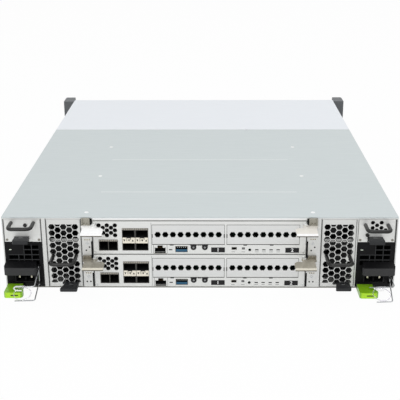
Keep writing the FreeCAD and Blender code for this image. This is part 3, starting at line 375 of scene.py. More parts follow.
def tube_mesh(name, path, r, sides=12, closed=False):
    """A round bar along a path, its radius in millimetres."""
    curve = bpy.data.curves.new(name, "CURVE")
    curve.dimensions = "3D"
    curve.bevel_depth = r * MM
    curve.bevel_resolution = max(1, sides // 4 - 1)
    curve.use_fill_caps = not closed
    line = curve.splines.new("POLY")
    line.points.add(len(path) - 1)
    for spot, p in zip(line.points, path):
        spot.co = (p[0], p[1], p[2], 1)
    line.use_cyclic_u = closed
    return plain_mesh(linked(name, curve))


def round_bar(name, body, finish, path, r, sides=12, closed=False):
    """A smooth piece that is one round bar."""
    smooth(settle(name, tube_mesh(name, path, r, sides, closed), body, finish))


def plain_mesh(source):
    """The evaluated mesh of an object that is then taken away."""
    graph = bpy.context.evaluated_depsgraph_get()
    mesh = bpy.data.meshes.new_from_object(source.evaluated_get(graph))
    bpy.data.objects.remove(source)
    return mesh


def smooth(made):
    """Shade a piece smooth, but for its sharp edges."""
    made.data.shade_smooth()
    made.data.set_sharp_from_angle(angle=math.radians(35))
    return made


def grid_tree(finish):
    """A node tree that repeats a unit in columns and rows."""
    tree = bpy.data.node_groups.new("repeat_in_rows", "GeometryNodeTree")
    for name, kind in (
        ("Unit", "Geometry"), ("Columns", "Int"), ("Rows", "Int"),
        ("Column step", "Vector"), ("Row step", "Vector"),
    ):
        tree.interface.new_socket(name, in_out="INPUT", socket_type="NodeSocket" + kind)
    tree.interface.new_socket("Geometry", in_out="OUTPUT", socket_type="NodeSocketGeometry")
    gate = node(tree, "NodeGroupInput").outputs

    def line(count, step):
        ends = {"Count": gate[count], "Offset": gate[step]}
        return node(tree, "GeometryNodeMeshLine", ends, mode="OFFSET").outputs["Mesh"]

    def placed(points, unit):
        spots = node(tree, "GeometryNodeInstanceOnPoints", {"Points": points, "Instance": unit})
        flat = {"Geometry": spots.outputs["Instances"]}
        return node(tree, "GeometryNodeRealizeInstances", flat).outputs["Geometry"]
    grid = placed(line("Rows", "Row step"), line("Columns", "Column step"))
    whole = {"Geometry": placed(grid, gate["Unit"]), "Material": finish}
    painted = node(tree, "GeometryNodeSetMaterial", whole).outputs["Geometry"]
    node(tree, "NodeGroupOutput", {"Geometry": painted})
    return tree


def repeated(name, bm, body, finish, columns, column_step, rows=1, row_step=(0, 0, 0)):
    """A unit repeated by geometry nodes, as one plain piece on a body."""
    source = linked(name + "_unit", mesh_of(name, bm))
    tree = grid_tree(finish)
    pattern = source.modifiers.new("rows", "NODES")
    pattern.node_group = tree
    values = {"Columns": columns, "Rows": rows, "Column step": column_step, "Row step": row_step}
    for item in tree.interface.items_tree:
        if item.in_out == "INPUT" and item.name in values:
            pattern[item.identifier] = values[item.name]
    return settle(name, plain_mesh(source), body, finish)


def lettering(name, words, centre, high, body, finish):
    """Raised characters that read from the rear, their height in millimetres."""
    curve = bpy.data.curves.new(name, "FONT")
    curve.body = words
    curve.align_x = curve.align_y = "CENTER"
    curve.size = high * MM * 1.35
    curve.extrude = 0.15 * MM
    curve.offset = high * MM * 0.02
    mesh = plain_mesh(linked(name, curve))
    mesh.transform(Matrix.Translation(centre) @ Matrix.Rotation(math.radians(90), 4, "X"))
    return settle(name, mesh, body, finish)


# ---------------- finishes of this shelf

def zone(a, b, code, rough, metal):
    """A box with a finish of its own."""
    return (*box_of(a, b), code, rough, metal)


HANDLE_GREY = "#151514"
BOARD_TOP = 1.95
SOCKETS = {
    # left, lower, width, height, depth on a canister's face, in millimetres
    "sas_left": (7.4, 4.7, 9.6, 10.2, 36), "sas_right": (17.9, 4.7, 9.6, 10.2, 36),
    "sfp_upper_left": (34.0, 20.3, 13.1, 8.1, 50), "sfp_upper_right": (49.2, 20.3, 13.1, 8.1, 50),
    "sfp_lower_left": (34.0, 4.7, 13.1, 8.1, 50), "sfp_lower_right": (49.2, 4.7, 13.1, 8.1, 50),
    "network": (70.6, 2.2, 11.3, 5.2, 14), "usb": (93.9, 2.4, 13.2, 6.6, 16),
    "small_usb": (157.9, 5.6, 5.2, 2.2, 8),
}


def board_zones(level):
    """Cages, housings and heat sink on a canister's board, and socket insides in painted shade that reaches
    a little onto the cages' rims.
    """
    def part(x0, x1, out0, out1, z0, z1, *finish):
        return zone(on_face(level, x0, out0, z0), on_face(level, x1, out1, z1), *finish)
    zones = [
        part(5, 66, 1, -52, BOARD_TOP, 40, "#A19D94", 0.35, 0.6),
        part(5, 66, 1, -2.5, BOARD_TOP, 40, "#4B4944", 0.4, 0.4),
        part(92, 109, 1, -18, BOARD_TOP, 12, "#A19D94", 0.35, 0.6),
        part(156, 165, 1, -10, BOARD_TOP, 12, "#B5B4AE", 0.3, 0.8),
        part(68, 85, 0, -22, BOARD_TOP, 14, "#161617", 0.5, 0.0),
        part(109, 132, 0, -14, BOARD_TOP, 14, "#161617", 0.45, 0.0),
        part(70, 152, -180, -275, BOARD_TOP, 40, "#B4B7BA", 0.4, 0.8),
        part(20, 215, -350, -380, BOARD_TOP, 20, "#1B1B1D", 0.5, 0.0),
    ]
    # Socket insides in near-black painted shade, grown onto the rims between the optical sockets.
    for name, (x, z, w, h, deep) in SOCKETS.items():
        left = 0.65 if name.startswith("sfp") and name.endswith("right") else 0.08
        right = 0.65 if name.startswith("sfp") and name.endswith("left") else 0.08
        zones.append(part(x - left, x + w + right, 0.1, -deep, z - 0.15, z + h + 0.15, "#0A0A0B", 0.6, 0.0))
    return zones


INLET_X = {"left": 20.3, "right": 21.2}


def supply_zones(side):
    """The hood's front, grey only in its lower part with its upper part left black as painted shade, the
    intake's field painted black as the shade in its grille holes, and painted shade deepening the dark
    inside of a supply's inlet.
    """
    middle = INLET_X[side]
    spot = partial(beside, SUPPLY[side])
    return [zone(spot(*a), spot(*b), code, rough, 0.0) for a, b, code, rough in (
        # Hood's front: grey below; above it the base black stands as painted shade.
        ((-4, 0.2, 8), (46, 25, 27.3), "#3A3A3B", 0.5),
        # Intake field: painted shade for its grille holes.
        ((3.4, 0.1, 26.7), (38.2, -9, 39.2), "#030304", 0.7),
        ((21.2, 0.1, 39.2), (38.2, -9, 52.8), "#030304", 0.7),
        # Inlet's inside: painted shade in its hollow.
        ((middle - 12.6, -0.3, 4.5), (middle + 12.6, -17.2, 19.3), "#070708", 0.7),
    )]


def latch_zones(side):
    """A painted highlight on the front face of a supply's lime latch, and painted contact shadow that makes
    its root black.
    """
    low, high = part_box(side + "_psu_latch")
    outer, inner = shifted(low, -1, -1, -1), shifted(high, 1, 1, 1)
    front = Vector((inner.x, low.y + 0.35 * MM, inner.z))
    root = beside(outer, 0, 5.5, 0)
    # Painted highlight on the front, painted contact shadow at the root.
    return [zone(outer, front, "#AEE01C", 0.4, 0.0), zone(root, inner, "#0B0B0D", 0.5, 0.0)]


def battery_zones(side):
    """The dark handle and status lens in front of a battery's face."""
    low, high = BATTERY[side]
    return [zone(beside(low, 0, 30, 0), beside(high, 0, 0.15, 0), HANDLE_GREY, 0.45, 0.1)]


def fan_zones(side):
    """The dark handle ahead of a fan module's face, and the fan frames inside."""
    low, high = FAN[side]
    return [
        zone(low, beside(high, 0, 0.15, 0), HANDLE_GREY, 0.45, 0.1),
        zone(beside(low, 1, -23, 1), beside(high, -1, -53, -1), "#232426", 0.5, 0.0),
    ]


ZINC = brushed("zinc_sheet", "#D9DAD8")
REAR_SHEET = brushed("rear_cover_sheet", "#C8D0D1", rough=0.45, metal=0.35, uneven=0.015)
FRONT_SHEET = brushed("front_cover_sheet", "#E6EAEF", rough=0.4, metal=0.35, uneven=0.012)
CANISTER_SHEET = brushed("canister_sheet", "#DFE0DE", rough=0.45, metal=0.35)
COVER_PLATE = brushed("slot_cover_sheet", "#D9DAD9", metal=0.4)
CAGE_SHEET = brushed("drive_cage_sheet", "#C6C8C8")
SCREW_STEEL = brushed("screw_steel", "#D2D4D4", rough=0.3, metal=0.7)
# Painted shade in the screws' drive recesses and behind the spring fingers.
SCREW_RECESS_SHADE = surface("screw_recess_shade", "#4C4D4E", 0.5, 0.3)
# Lit and shaded copies of one nickel plate: the upper plates carry painted glare and painted light, the
# lower ones painted shade with a warm cast.
NICKEL = {
    "upper_left": brushed("nickel_painted_glare", "#FFFFFF", rough=0.4, metal=0.0, along="y", uneven=0.008),
    "upper_right": brushed("nickel_painted_light", "#E4E0D8", rough=0.4, metal=0.1, along="y", uneven=0.015),
    "lower_left": brushed("nickel_painted_shade", "#A5A093", metal=0.3, along="y", uneven=0.06, patch=55),
    "lower_right": brushed("nickel_painted_warm_shade", "#B3AD9E", metal=0.3, along="y", uneven=0.06, patch=55),
}
# The levers' channel roots in painted shade, darker on the lower levers.
NICKEL_ROOT_SHADE = {
    "upper": brushed("lever_root_upper_shade", "#9C998E", metal=0.3, along="z", uneven=0.05, patch=90),
    "lower": brushed("lever_root_lower_shade", "#8A8476", metal=0.35, along="z", uneven=0.07, patch=90),
}
# Painted highlights on the levers' turned-down front edges.
NICKEL_EDGE_HIGHLIGHT = {
    "upper": surface("lever_edge_upper_highlight", "#FFFFFF", 0.35, 0.0),
    "lower": surface("lever_edge_lower_highlight", "#DDD8C9", 0.35, 0.2),
}
# Painted shade under the levers' front edges; also the finish of two small marks on each root.
LEVER_SHADE = surface("lever_underside_shade", "#575145", 0.5, 0.1)
FILLER = brushed("battery_filler", "#DEDFDD")
WIRE = brushed("bail_wire", "#A6A8AA", rough=0.22, metal=0.95, along="z")
TIE = clear_plastic("clear_tie", "#E9E2F6")
STRAP = surface("tie_strap", "#F7F7F8", 0.4, 0.0, uneven=0.01)
EAR = surface("ear_plastic", "#5A5D60", 0.5, 0.0, relief=0.12)
BLACK_LATCH = surface("latch_black", "#2A2B2D", 0.5, 0.0, relief=0.1, gloss=0.25)
ROTOR = surface("rotor_black", "#17181A", 0.5, 0.0)
DISK = surface("drive_body", "#A9ACAE", 0.45, 0.5)
DRIVE_LEVER = surface("drive_lever_dark", "#3A3C3E", 0.45, 0.0, relief=0.1)
MIDPLANE = surface("midplane_board", "#1F4A34", 0.45, 0.0)
DARK_PRINT = surface("dark_print", "#19191B", 0.55, 0.0, gloss=0.25)
# Painted glints on the inlet's blade tips.
BLADE_GLINT = surface("blade_tip_glint", "#F2EBD6", 0.3, 0.2)
INTAKE_GREY = surface("intake_grey", "#3A3B3D", 0.5, 0.0, gloss=0.3)
GREY_PRINT = surface("grey_print", "#8C8E8E", 0.5, 0.0)
# The pale finish of the digits and the cover screws, and the painted highlights on the cover's lip, beads
# and seam.
PALE_PRINT_AND_HIGHLIGHT = surface("pale_print_and_highlight", "#F4F5F5", 0.5, 0.0)
SEAM_SHADE = surface("seam_shade", "#6C6D6C", 0.6, 0.0, gloss=0.2)
LINE_SHADE = surface("line_shade", "#4A4A48", 0.6, 0.0, gloss=0.2)
FOOT_SHADE = surface("foot_shade", "#77756E", 0.6, 0.0, gloss=0.2)
DEEP_SHADE = surface("deep_shade", "#0B0B0C", 0.7, 0.0, gloss=0.15)
SPRING = brushed("spring_steel", "#8B877E", rough=0.35, metal=0.5)
IVORY = surface("light_pipe_ivory", "#ECE6D6", 0.35, 0.0, coat=0.2)
BLUE = surface("socket_blue", "#105070", 0.4, 0.0)
CONTACT = surface("bright_contact", "#D9DDD8", 0.35, 0.3)
DULL_GOLD = brushed("contact_gold", "#5B4526", rough=0.35, metal=0.7)
LENS = lamp_lens("dark_lens", "#33383A")
PALE_LENS = lamp_lens("pale_lens", "#DDE8D8")
HANDLE = surface("handle_grey", HANDLE_GREY, 0.38, 0.0, relief=0.08, gloss=0.4)
DRIVES = [
    name for name in sorted(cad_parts)
    if name.startswith("drive_") and not name.endswith("_lever") and name != "drive_cage"
]


def paint_nodes():
    """Finishes of every solid."""
    plain = {
        "chassis_tub": ZINC, "rear_cover": REAR_SHEET, "front_cover": FRONT_SHEET, "left_ear": EAR,
        "right_ear": EAR, "drive_cage": CAGE_SHEET, "midplane": MIDPLANE, "case_screws": SCREW_STEEL,
    }
    for name in DRIVES:
        plain.update({name: DISK, name + "_lever": DRIVE_LEVER})
    for level in LEVELS:
        board = surface(level + "_circuit_board", "#1F4A34", 0.45, 0.0, zones=board_zones(level))
        plain[level + "_canister_board"] = board
        plain.update({level + "_canister_tray": CANISTER_SHEET, level + "_slot_covers": COVER_PLATE})
        for side in SIDES:
            plain["%s_%s_lever" % (level, side)] = NICKEL[level + "_" + side]
            plain["%s_%s_rotor" % (side, level)] = ROTOR
    for side in SIDES:
        plain[side + "_psu"] = surface(
            side + "_supply_black", "#0B0B0D", 0.5, 0.0, relief=0.1, zones=supply_zones(side), gloss=0.15,
        )
        plain[side + "_psu_latch"] = surface(
            side + "_latch_lime", "#86BE18", 0.36, 0.0, uneven=0.03, patch=60, relief=0.08, coat=0.15,
            zones=latch_zones(side),
        )
        plain[side + "_battery"] = brushed(side + "_battery_sheet", "#DEDFDD", zones=battery_zones(side))
        plain[side + "_fan_module"] = brushed(side + "_fan_sheet", "#D6D7D5", zones=fan_zones(side))
        for latch in ("_battery_latch", "_fan_latch"):
            plain[side + latch] = BLACK_LATCH
        plain[side + "_cord_bail"] = WIRE
    for name, finish in plain.items():
        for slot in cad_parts[name].material_slots:
            slot.material = finish


# ---------------- canister details

COVER_LEFTS = (67.3, 152.1)
COVER_W = 82.0
LEVER_PIN = 1.9
CAGE_LEFTS = (33.7, 48.4)
LAMP_SLOTS = (186.2, 194.2, 202.4, 210.5)


def face_block(bm, level, x0, x1, out0, out1, z0, z1, ease=0.0, mat=0):
    """A block placed on a canister's face."""
    block(bm, on_face(level, x0, out0, z0), on_face(level, x1, out1, z1), ease, mat)


def inlay(bm, level, x0, x1, z0, z1, lift=0.1, ease=0.0, mat=0, sink=0.3):
    """A thin block let into a canister's face, which stands out by its lift."""
    face_block(bm, level, x0, x1, lift, -sink, z0, z1, ease, mat)


def seam_shade_lines(level):
    """Painted shade in the narrow seams round the slot covers, between the port fields and along the face's
    edges.
    """
    bm = shape()
    wide, high = size_of(TRAY[level])
    for left in COVER_LEFTS:
        right = left + COVER_W
        inlay(bm, level, left - 0.3, left + 0.15, 11.5, 35.5)
        inlay(bm, level, right - 0.15, right + 0.3, 11.5, 35.5)
        inlay(bm, level, left, right, 35.05, 35.6)
        inlay(bm, level, left - 0.3, right + 0.3, 11.1, 11.9, mat=1)
    inlay(bm, level, 66.2, 66.5, 0.6, 38)
    inlay(bm, level, 0.3, wide - 0.3, high - 0.75, high - 0.1, 0.12, mat=1)
    for left in (0.1, wide - 0.6):
        inlay(bm, level, left, left + 0.5, 0.3, high - 0.3)
    piece(level + "_seam_shade_lines", bm, level + "_canister", SEAM_SHADE, LINE_SHADE)


def slot_notches(level):
    """Tab notches below the slot covers and at their ends, filled with painted shade."""
    bm = shape()
    for x in (89.4, 120.7, 173.0, 203.0):
        inlay(bm, level, x - 2.1, x + 2.1, 10.2, 11.1, 0.15, 0.1)
    for x in (66.9, 148.6, 151.6, 233.4):
        inlay(bm, level, x, x + 1.1, 19.6, 24.2, 0.15, 0.1)
    piece(level + "_slot_notches", bm, level + "_canister", DEEP_SHADE)


def spring_rows(level):
    """Contact spring fingers over the two groups of cages."""
    pitch = 2.1
    profile = ((0, 0), (0.55, 0.3), (0.75, 1.1), (0.5, 1.9), (0, 2.3))
    for kind, left, foot, count in (("optical", 33.6, 28.9, 14), ("copper", 6.9, 15.0, 10)):
        name = "%s_%s_spring" % (level, kind)
        # A strip of painted shade behind the spring fingers.
        back = shape()
        inlay(back, level, left - 0.3, left + count * pitch + 0.2, foot - 0.1, foot + 2.5, 0.06)
        piece(name + "_back", back, level + "_canister", SCREW_RECESS_SHADE)
        unit = shape()
        prism(unit, [on_face(level, left, 0.05 + out, foot + z) for out, z in profile], (1.5 * MM, 0, 0))
        repeated(name + "s", unit, level + "_canister", SPRING, count, (pitch * MM, 0, 0))


def light_pipes(level):
    """The ivory light-pipe block between the optical sockets, with its dark arrows and tabs."""
    bm = shape()
    for left in CAGE_LEFTS:
        inlay(bm, level, left, left + 14.2, 13.1, 19.9, 0.7, 0.25)
    piece(level + "_light_pipes", bm, level + "_canister", IVORY)
    arrows = shape()
    for x, up in ((35.8, -1), (41.2, -1), (45.4, 1), (50.7, -1), (56.2, -1), (60.6, 1)):
        base, tip = 16.6 - 1.2 * up, 16.6 + 1.3 * up
        outline = [on_face(level, a, 0.68, z) for a, z in ((x - 1.2, base), (x + 1.2, base), (x, tip))]
        prism(arrows, outline, OUTWARD * (0.08 * MM))
    for x0, x1 in ((38.4, 43.4), (53.3, 58.6)):
        inlay(arrows, level, x0, x1, 19.3, 20.8, 0.9, 0.2)
        face_block(arrows, level, x0, x0 + 0.6, 0.76, 0.1, 15.6, 19.3)
        face_block(arrows, level, x1 - 0.6, x1, 0.76, 0.1, 17.4, 19.3)
    piece(level + "_light_pipe_arrows", arrows, level + "_canister", DARK_PRINT)


def bus_tongue(level):
    """The blue tongue in the bus socket, its row of contacts and painted shade in the socket's roof above
    it.
    """
    bm = shape()
    for start, z0, z1, ease, mat in (
        (0.15, 2.5, 5.4, 0.1, 0), (0.5, 5.45, 5.7, 0.0, 1), (3.5, 5.7, 8.9, 0.0, 1),
    ):
        face_block(bm, level, 94.0, 107.0, -start, -14, z0, z1, ease, mat)
    for n in range(5):
        x = 95.6 + n * 2.3
        face_block(bm, level, x, x + 0.7, -1.2, -2.4, 7.2, 7.8, 0.0, 2)
    piece(level + "_bus_tongue", bm, level + "_canister", BLUE, DEEP_SHADE, CONTACT)


def network_frame(level):
    """The network socket's mouth in painted shade, the thin edge of its shell, lines of painted shade
    beside the shell, and its contact wires.
    """
    bm = shape()
    inlay(bm, level, 70.3, 82.2, 0.9, 2.15, 0.08, 0.0, 2)
    for left in (70.1, 81.9):
        inlay(bm, level, left, left + 0.5, 0.9, 8.0, 0.08, 0.0, 2)
    for left in (68.6, 84.0):
        inlay(bm, level, left, left + 0.4, 0.5, 10.8, 0.08, 0.0, 3)
    inlay(bm, level, 69.0, 84.0, 0.3, 0.65, 0.3, 0.1)
    for n in range(8):
        x = 72.0 + n * 1.2
        face_block(bm, level, x, x + 0.4, -2, -9, 6.6, 7.3, 0.0, 1)
    piece(level + "_network_frame", bm, level + "_canister", SPRING, DULL_GOLD, DEEP_SHADE, SEAM_SHADE)


def jack_rings(level):
    """Threaded rings of the two round jacks, under their dark shoulders."""
    bm = shape()
    for x in (114.2, 127.1):
        spot = on_face(level, x, -0.3, 8.0)
        turned(bm, spot, OUTWARD, [(3.3, 0), (3.3, 0.7), (2.9, 1.0), (2.0, 1.0)])
        turned(bm, spot, OUTWARD, [(1.1, 0.9), (1.1, 1.02)], 20, 1)
        inlay(bm, level, x - 3.7, x + 3.7, 9.9, 11.4, 0.5, 0.3)
    smooth(piece(level + "_jack_rings", bm, level + "_canister", DARK_PRINT, GREY_PRINT))


def small_ports(level):
    """Small ports, the recessed lamp and the row of lamp slots."""
    bm = shape()
    marks = [
        # across, up, lift, ease and finish
        (157.5, 163.5, 5.2, 5.5, 0.2, 0.05, 0), (157.5, 163.5, 7.9, 8.2, 0.2, 0.05, 0),
        (169.2, 172.6, 5.4, 7.9, 0.12, 0.2, 1), (169.9, 171.9, 6.2, 7.1, 0.2, 0.1, 2),
    ]
    for x in (88.2,) + LAMP_SLOTS:
        marks.append((x - 2.0, x + 2.0, 4.9, 5.7, 0.2, 0.3, 1))
        marks.append((x - 2.0, x + 2.0, 4.4, 4.9, 0.15, 0.1, 3))
    for x in (159.4, 170.9) + LAMP_SLOTS:
        marks.append((x - 2.0, x + 2.0, 2.2, 2.8, 0.06, 0.0, 2))
    for row in marks:
        inlay(bm, level, *row, sink=0.4)
    piece(level + "_small_ports", bm, level + "_canister", SPRING, DARK_PRINT, GREY_PRINT, LENS)


def number_plates(level):
    """Plain plates that number the two slots."""
    wide, high = 15.6, 6.0
    for digit, left, foot in (("1", 134.3, 1.9), ("2", 218.6, 1.5)):
        name = "%s_plate_%s" % (level, digit)
        bm = shape()
        inlay(bm, level, left, left + wide, foot, foot + high, 0.3, 0.2)
        piece(name, bm, level + "_canister", DARK_PRINT)
        middle = on_face(level, left + wide / 2, 0.35, foot + high / 2)
        lettering(name + "_digit", digit, middle, 4.5, level + "_canister", PALE_PRINT_AND_HIGHLIGHT)


def face_screws(level):
    """Small screws at the lower corners of a canister's face."""
    bm = shape()
    for x in (2.6, 239.2):
        screw_head(bm, on_face(level, x, 0, 1.9), 1.3, 0.5)
    smooth(piece(level + "_face_screws", bm, level + "_canister", SCREW_STEEL, SCREW_RECESS_SHADE))


def lever_pins(level):
    """Riveted pin heads on the levers' lugs."""
    bm = shape()
    for x in (LEVER_PIN, size_of(TRAY[level])[0] - LEVER_PIN):
        turned(bm, on_face(level, x, 4.0, 37.8), UP, [(1.5, 0), (1.5, 0.25), (1.1, 0.5)], 20)
    smooth(piece(level + "_lever_pins", bm, level + "_canister", SCREW_STEEL))


def ejector(level, side):
    """A nickel-plated ejector lever: thumb plate with a turned-down front edge and a channel root. The
    plate carries the painted light of its place, the front edge a painted highlight, and the root and the
    strip under the edge painted shade.
    """
    name = "%s_%s_lever" % (level, side)
    way = -1 if side == "left" else 1
    pin = LEVER_PIN if side == "left" else size_of(TRAY[level])[0] - LEVER_PIN
    foot = (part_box(name)[0].z - TRAY[level][0].z) / MM + 3.2
    root = 10.0 if level == "upper" else 5.2

    def spot(beyond, out, z):
        return on_face(level, pin + way * beyond, out, foot + z)

    def bar(x0, x1, out0, out1, z0, z1, ease, mat):
        block(bm, spot(x0, out0, z0), spot(x1, out1, z1), ease, mat)
    bm = shape()
    outline = (
        (13.8, 1), (0, 1), (-1.4, 4), (-1.4, 11), (-9.0, 11), (-12.1, 15), (-12.1, 28.5),
        (11.5, 28.5), (11.5, 10), (13.8, 7),
    )
    prism(bm, [spot(x, out, 0) for x, out in outline], (0, 0, 1.8 * MM), 0.3)
    turned(bm, spot(0, 4, 0), UP, [(3.0, 0.01), (3.0, 1.79)])
    # The front edge's painted highlight, and a strip of painted shade under it.
    bar(-12.1, 11.5, 28.0, 29.6, -0.6, 1.85, 0.4, 1)
    bar(-12.1, 11.5, 28.2, 29.5, -1.7, -0.5, 0.2, 3)
    # The channel root, in painted shade.
    bar(4.1, 13.6, 1.0, 3.2, 1.6, root, 0.25, 2)
    for x in (4.1, 12.4):
        bar(x, x + 1.2, 1.0, 5.0, 1.6, root, 0.25, 2)
    for x in (6.6, 9.8):
        bar(x, x + 1.4, 3.1, 3.3, 4.0, 4.8, 0.05, 3)
    finishes = (NICKEL[level + "_" + side], NICKEL_EDGE_HIGHLIGHT[level], NICKEL_ROOT_SHADE[level], LEVER_SHADE)
    stand_in(piece(name + "_plate", bm, name, *finishes), name)


# ---------------- vents

ROUND_VENTS = (
    # across, and down from the top of a canister's face
    (7.2, 5.8), (16.5, 5.8), (25.5, 5.8), (11.8, 8.7), (21.1, 8.7), (7.2, 11.8), (16.5, 11.8), (25.5, 11.8),
    (12.2, 14.9), (21.0, 14.9), (16.2, 17.8), (25.5, 17.8),
)


def hex_outline(across):
    """Corners of a hexagon with flats above and below, about its middle."""
    half, point = across / 2, across / math.sqrt(3)
    side = point / 2
    return [(-point, 0), (-side, half), (side, half), (point, 0), (side, -half), (-side, -half)]


def round_outline(r):
    """Corners of a circle drawn with twelve sides, about its middle."""
    return [(r * math.cos(math.radians(t)), r * math.sin(math.radians(t))) for t in range(0, 360, 30)]


def moved(corners, x, z):
    """An outline moved across and up."""
    return [(x + a, z + b) for a, b in corners]


def clipped(corners, limit):
    """The part of an outline below a level line."""
    kept = []
    for (x, z), (nx, nz) in zip(corners, corners[1:] + corners[:1]):
        if z <= limit:
            kept.append((x, z))
        if (z <= limit) != (nz <= limit):
            kept.append((x + (nx - x) * (limit - z) / (nz - z), limit))
    return kept


def clamped(corners, low, high):
    """Corners held between two level lines."""
    return [(x, min(high, max(low, z))) for x, z in corners]


def shrunk(corners, share):
    """An outline drawn in towards its middle."""
    cx, cz = (sum(c[n] for c in corners) / len(corners) for n in (0, 1))
    return [(cx + (x - cx) * share, cz + (z - cz) * share) for x, z in corners]


def vent_edge(bm, place, outer, inner, deep):
    """A thin ring of painted shade round a vent, flat with a wall that goes inwards."""
    lift = 0.06
    rings = []
    for corners, out in ((outer, -deep), (outer, lift), (inner, lift), (inner, -deep)):
        rings.append([bm.verts.new(place(x, out, z)) for x, z in corners])
    faces = []
    for a, b in zip(rings, rings[1:] + rings[:1]):
        faces += ring_faces(bm, a, b)
    bmesh.ops.recalc_face_normals(bm, faces=faces)


def canister_vent_edges(level):
    """Painted shade round the round vents beside the sockets and round the hexagons in the slot covers, and
    a backing of painted shade behind the round vents.
    """
    bm = shape()
    wide, high = size_of(TRAY[level])
    spot = partial(on_face, level)
    for x, drop in ROUND_VENTS:
        outer, inner = (moved(round_outline(r), x, high - drop) for r in (2.55, 1.75))
        vent_edge(bm, spot, outer, inner, 0.4)
    cover = (wide - 78.0) / 2
    pitch = cover / 9.5
    z = 11.7 + (high - 16.9) / 2
    for left in (COVER_LEFTS[0], 70.1 + cover):
        for n in range(-4, 5):
            x = left + cover / 2 + n * pitch
            outer, inner = (moved(hex_outline(across), x, z) for across in (6.4, 5.2))
            vent_edge(bm, spot, outer, inner, 0.4)
    piece(level + "_vent_edges", bm, level + "_canister", DEEP_SHADE)
    back = shape()
    face_block(back, level, 3, 31, -3.0, -3.6, 20.5, high - 1.6)
    piece(level + "_vent_shade_backing", back, level + "_canister", DEEP_SHADE)


def fan_vent_edges(side):
    """Painted shade round a fan module's hexagons, and half vents at the ends of its columns drawn whole in
    painted shade.
    """
    wide, high = size_of(FAN[side])
    pitch_x, pitch_z, half_pitch = 6.6, 7.6, 3.7
    foot, roof, edge = 4.8, high - 6.3, 0.3
    bm = shape()
    for column in range(-2, 3):
        x = wide / 2 + column * pitch_x
        for row in range(11):
            z = 5.2 + (half_pitch if column % 2 else 0) + row * pitch_z
            if z - 2.3 > roof or (abs(column) == 2 and abs(z - GRIP_Z) < 3.5):
                continue
            outer = moved(hex_outline(6.7), x, z)
            if z > roof + 0.5 or (column and abs(z - GRIP_Z) < 7 and z < 41):
                outer = clipped(outer, roof)
                inner = shrunk(outer, 0.02)
            else:
                outer = clamped(outer, foot - edge, roof + edge)
                inner = clamped(moved(hex_outline(5.7), x, z), foot, roof)
            vent_edge(bm, partial(beside, FAN[side][0]), outer, inner, 0.3)
    piece(side + "_fan_vent_edges", bm, side + "_fan_module", DEEP_SHADE)


def dress_canister(level):
    """Everything on a canister's face."""
    for step in (
        seam_shade_lines, slot_notches, spring_rows, light_pipes, bus_tongue, network_frame, jack_rings,
        small_ports, number_plates, face_screws, lever_pins, canister_vent_edges,
    ):
        step(level)
    for side in SIDES:
        ejector(level, side)


# ---------------- posts and covers

POSTS = {
    # left and right edge of the posts between the rear bays
    "left_strip": (FAN["left"][1].x / MM + 0.3, TRAY["lower"][0].x / MM - 0.3),
    "right_strip": (TRAY["lower"][1].x / MM + 0.3, FAN["right"][0].x / MM - 0.3),
    "pillar": (BATTERY["left"][1].x / MM + 0.3, FAN["left"][0].x / MM - 0.3),
}
BEAD_SHARES = (0.229, 0.582)


def post_screws():
    """Screws of the two posts beside the canisters, and their gauge holes as dark discs of painted shade.
    """
    screws = shape()
    holes = shape()
    for x in (-127.6, 128.4):
        for z in (13.5, 55.0):
            screw_head(screws, at(x, 0, z), 1.9, 0.6)
        for dx, z in ((-2.2, 7.6), (2.0, 7.6), (-1.4, 46.6), (2.4, 50.5), (0.5, 30.5)):
            turned(holes, at(x + dx, -0.3, z), OUTWARD, [(0.95, 0), (0.95, 0.36)], 14)
    smooth(piece("post_screws", screws, "enclosure", SCREW_STEEL, SCREW_RECESS_SHADE))
    smooth(piece("post_gauge_holes", holes, "enclosure", DEEP_SHADE))


def post_gauge_marks():
    """Ivory strips with three dark squares, in two pairs on the posts."""
    bm = shape()
    for x, z in ((-127.6, 59.6), (-127.6, 18.4), (128.6, 60.4), (128.6, 18.6)):
        block(bm, at(x - 3.6, 0.12, z - 0.7), at(x + 3.6, -0.3, z + 0.7))
        for dx in (-2.4, 0, 2.4):
            block(bm, at(x + dx - 0.5, 0.2, z - 0.5), at(x + dx + 0.5, -0.3, z + 0.5), 0.0, 1)
    piece("post_gauge_marks", bm, "enclosure", IVORY, LINE_SHADE)


def post_lines():
    """Painted shade along the posts' folded edges, in the slits beside the canisters and along the floor
    under the modules, and a painted highlight on the cover's lip.
    """
    bm = shape()

    def line(x0, x1, z0, z1, lift=0.08, mat=0):
        block(bm, at(x0, lift, z0), at(x1, -0.3, z1), 0.0, mat)
    # Painted shade in the gaps along the posts' edges.
    for left, right in POSTS.values():
        line(left, left + 0.55, 1.4, 85.4)
        line(right - 0.55, right, 1.4, 85.4)
    inner_left, inner_right = POSTS["left_strip"][1], POSTS["right_strip"][0]
    # Dark slits of painted shade beside the canisters.
    for x0, x1 in ((inner_left - 1.9, inner_left), (inner_right, inner_right + 1.9)):
        for z0, z1 in ((1.5, 18.6), (35.0, 57.7), (75.0, 85.6)):
            line(x0, x1, z0, z1, 0.1, 1)
    side = HALF_W / MM - 0.2
    # Painted shadow under the modules along the floor, and a painted highlight on the cover's lip above the
    # canisters.
    line(-side, side, 0.05, 1.05, 0.1, 2)
    line(inner_left + 1, inner_right - 1, 84.2, 85.7, 0.1, 3)
    piece("post_lines", bm, "enclosure", LINE_SHADE, DEEP_SHADE, FOOT_SHADE, PALE_PRINT_AND_HIGHLIGHT)


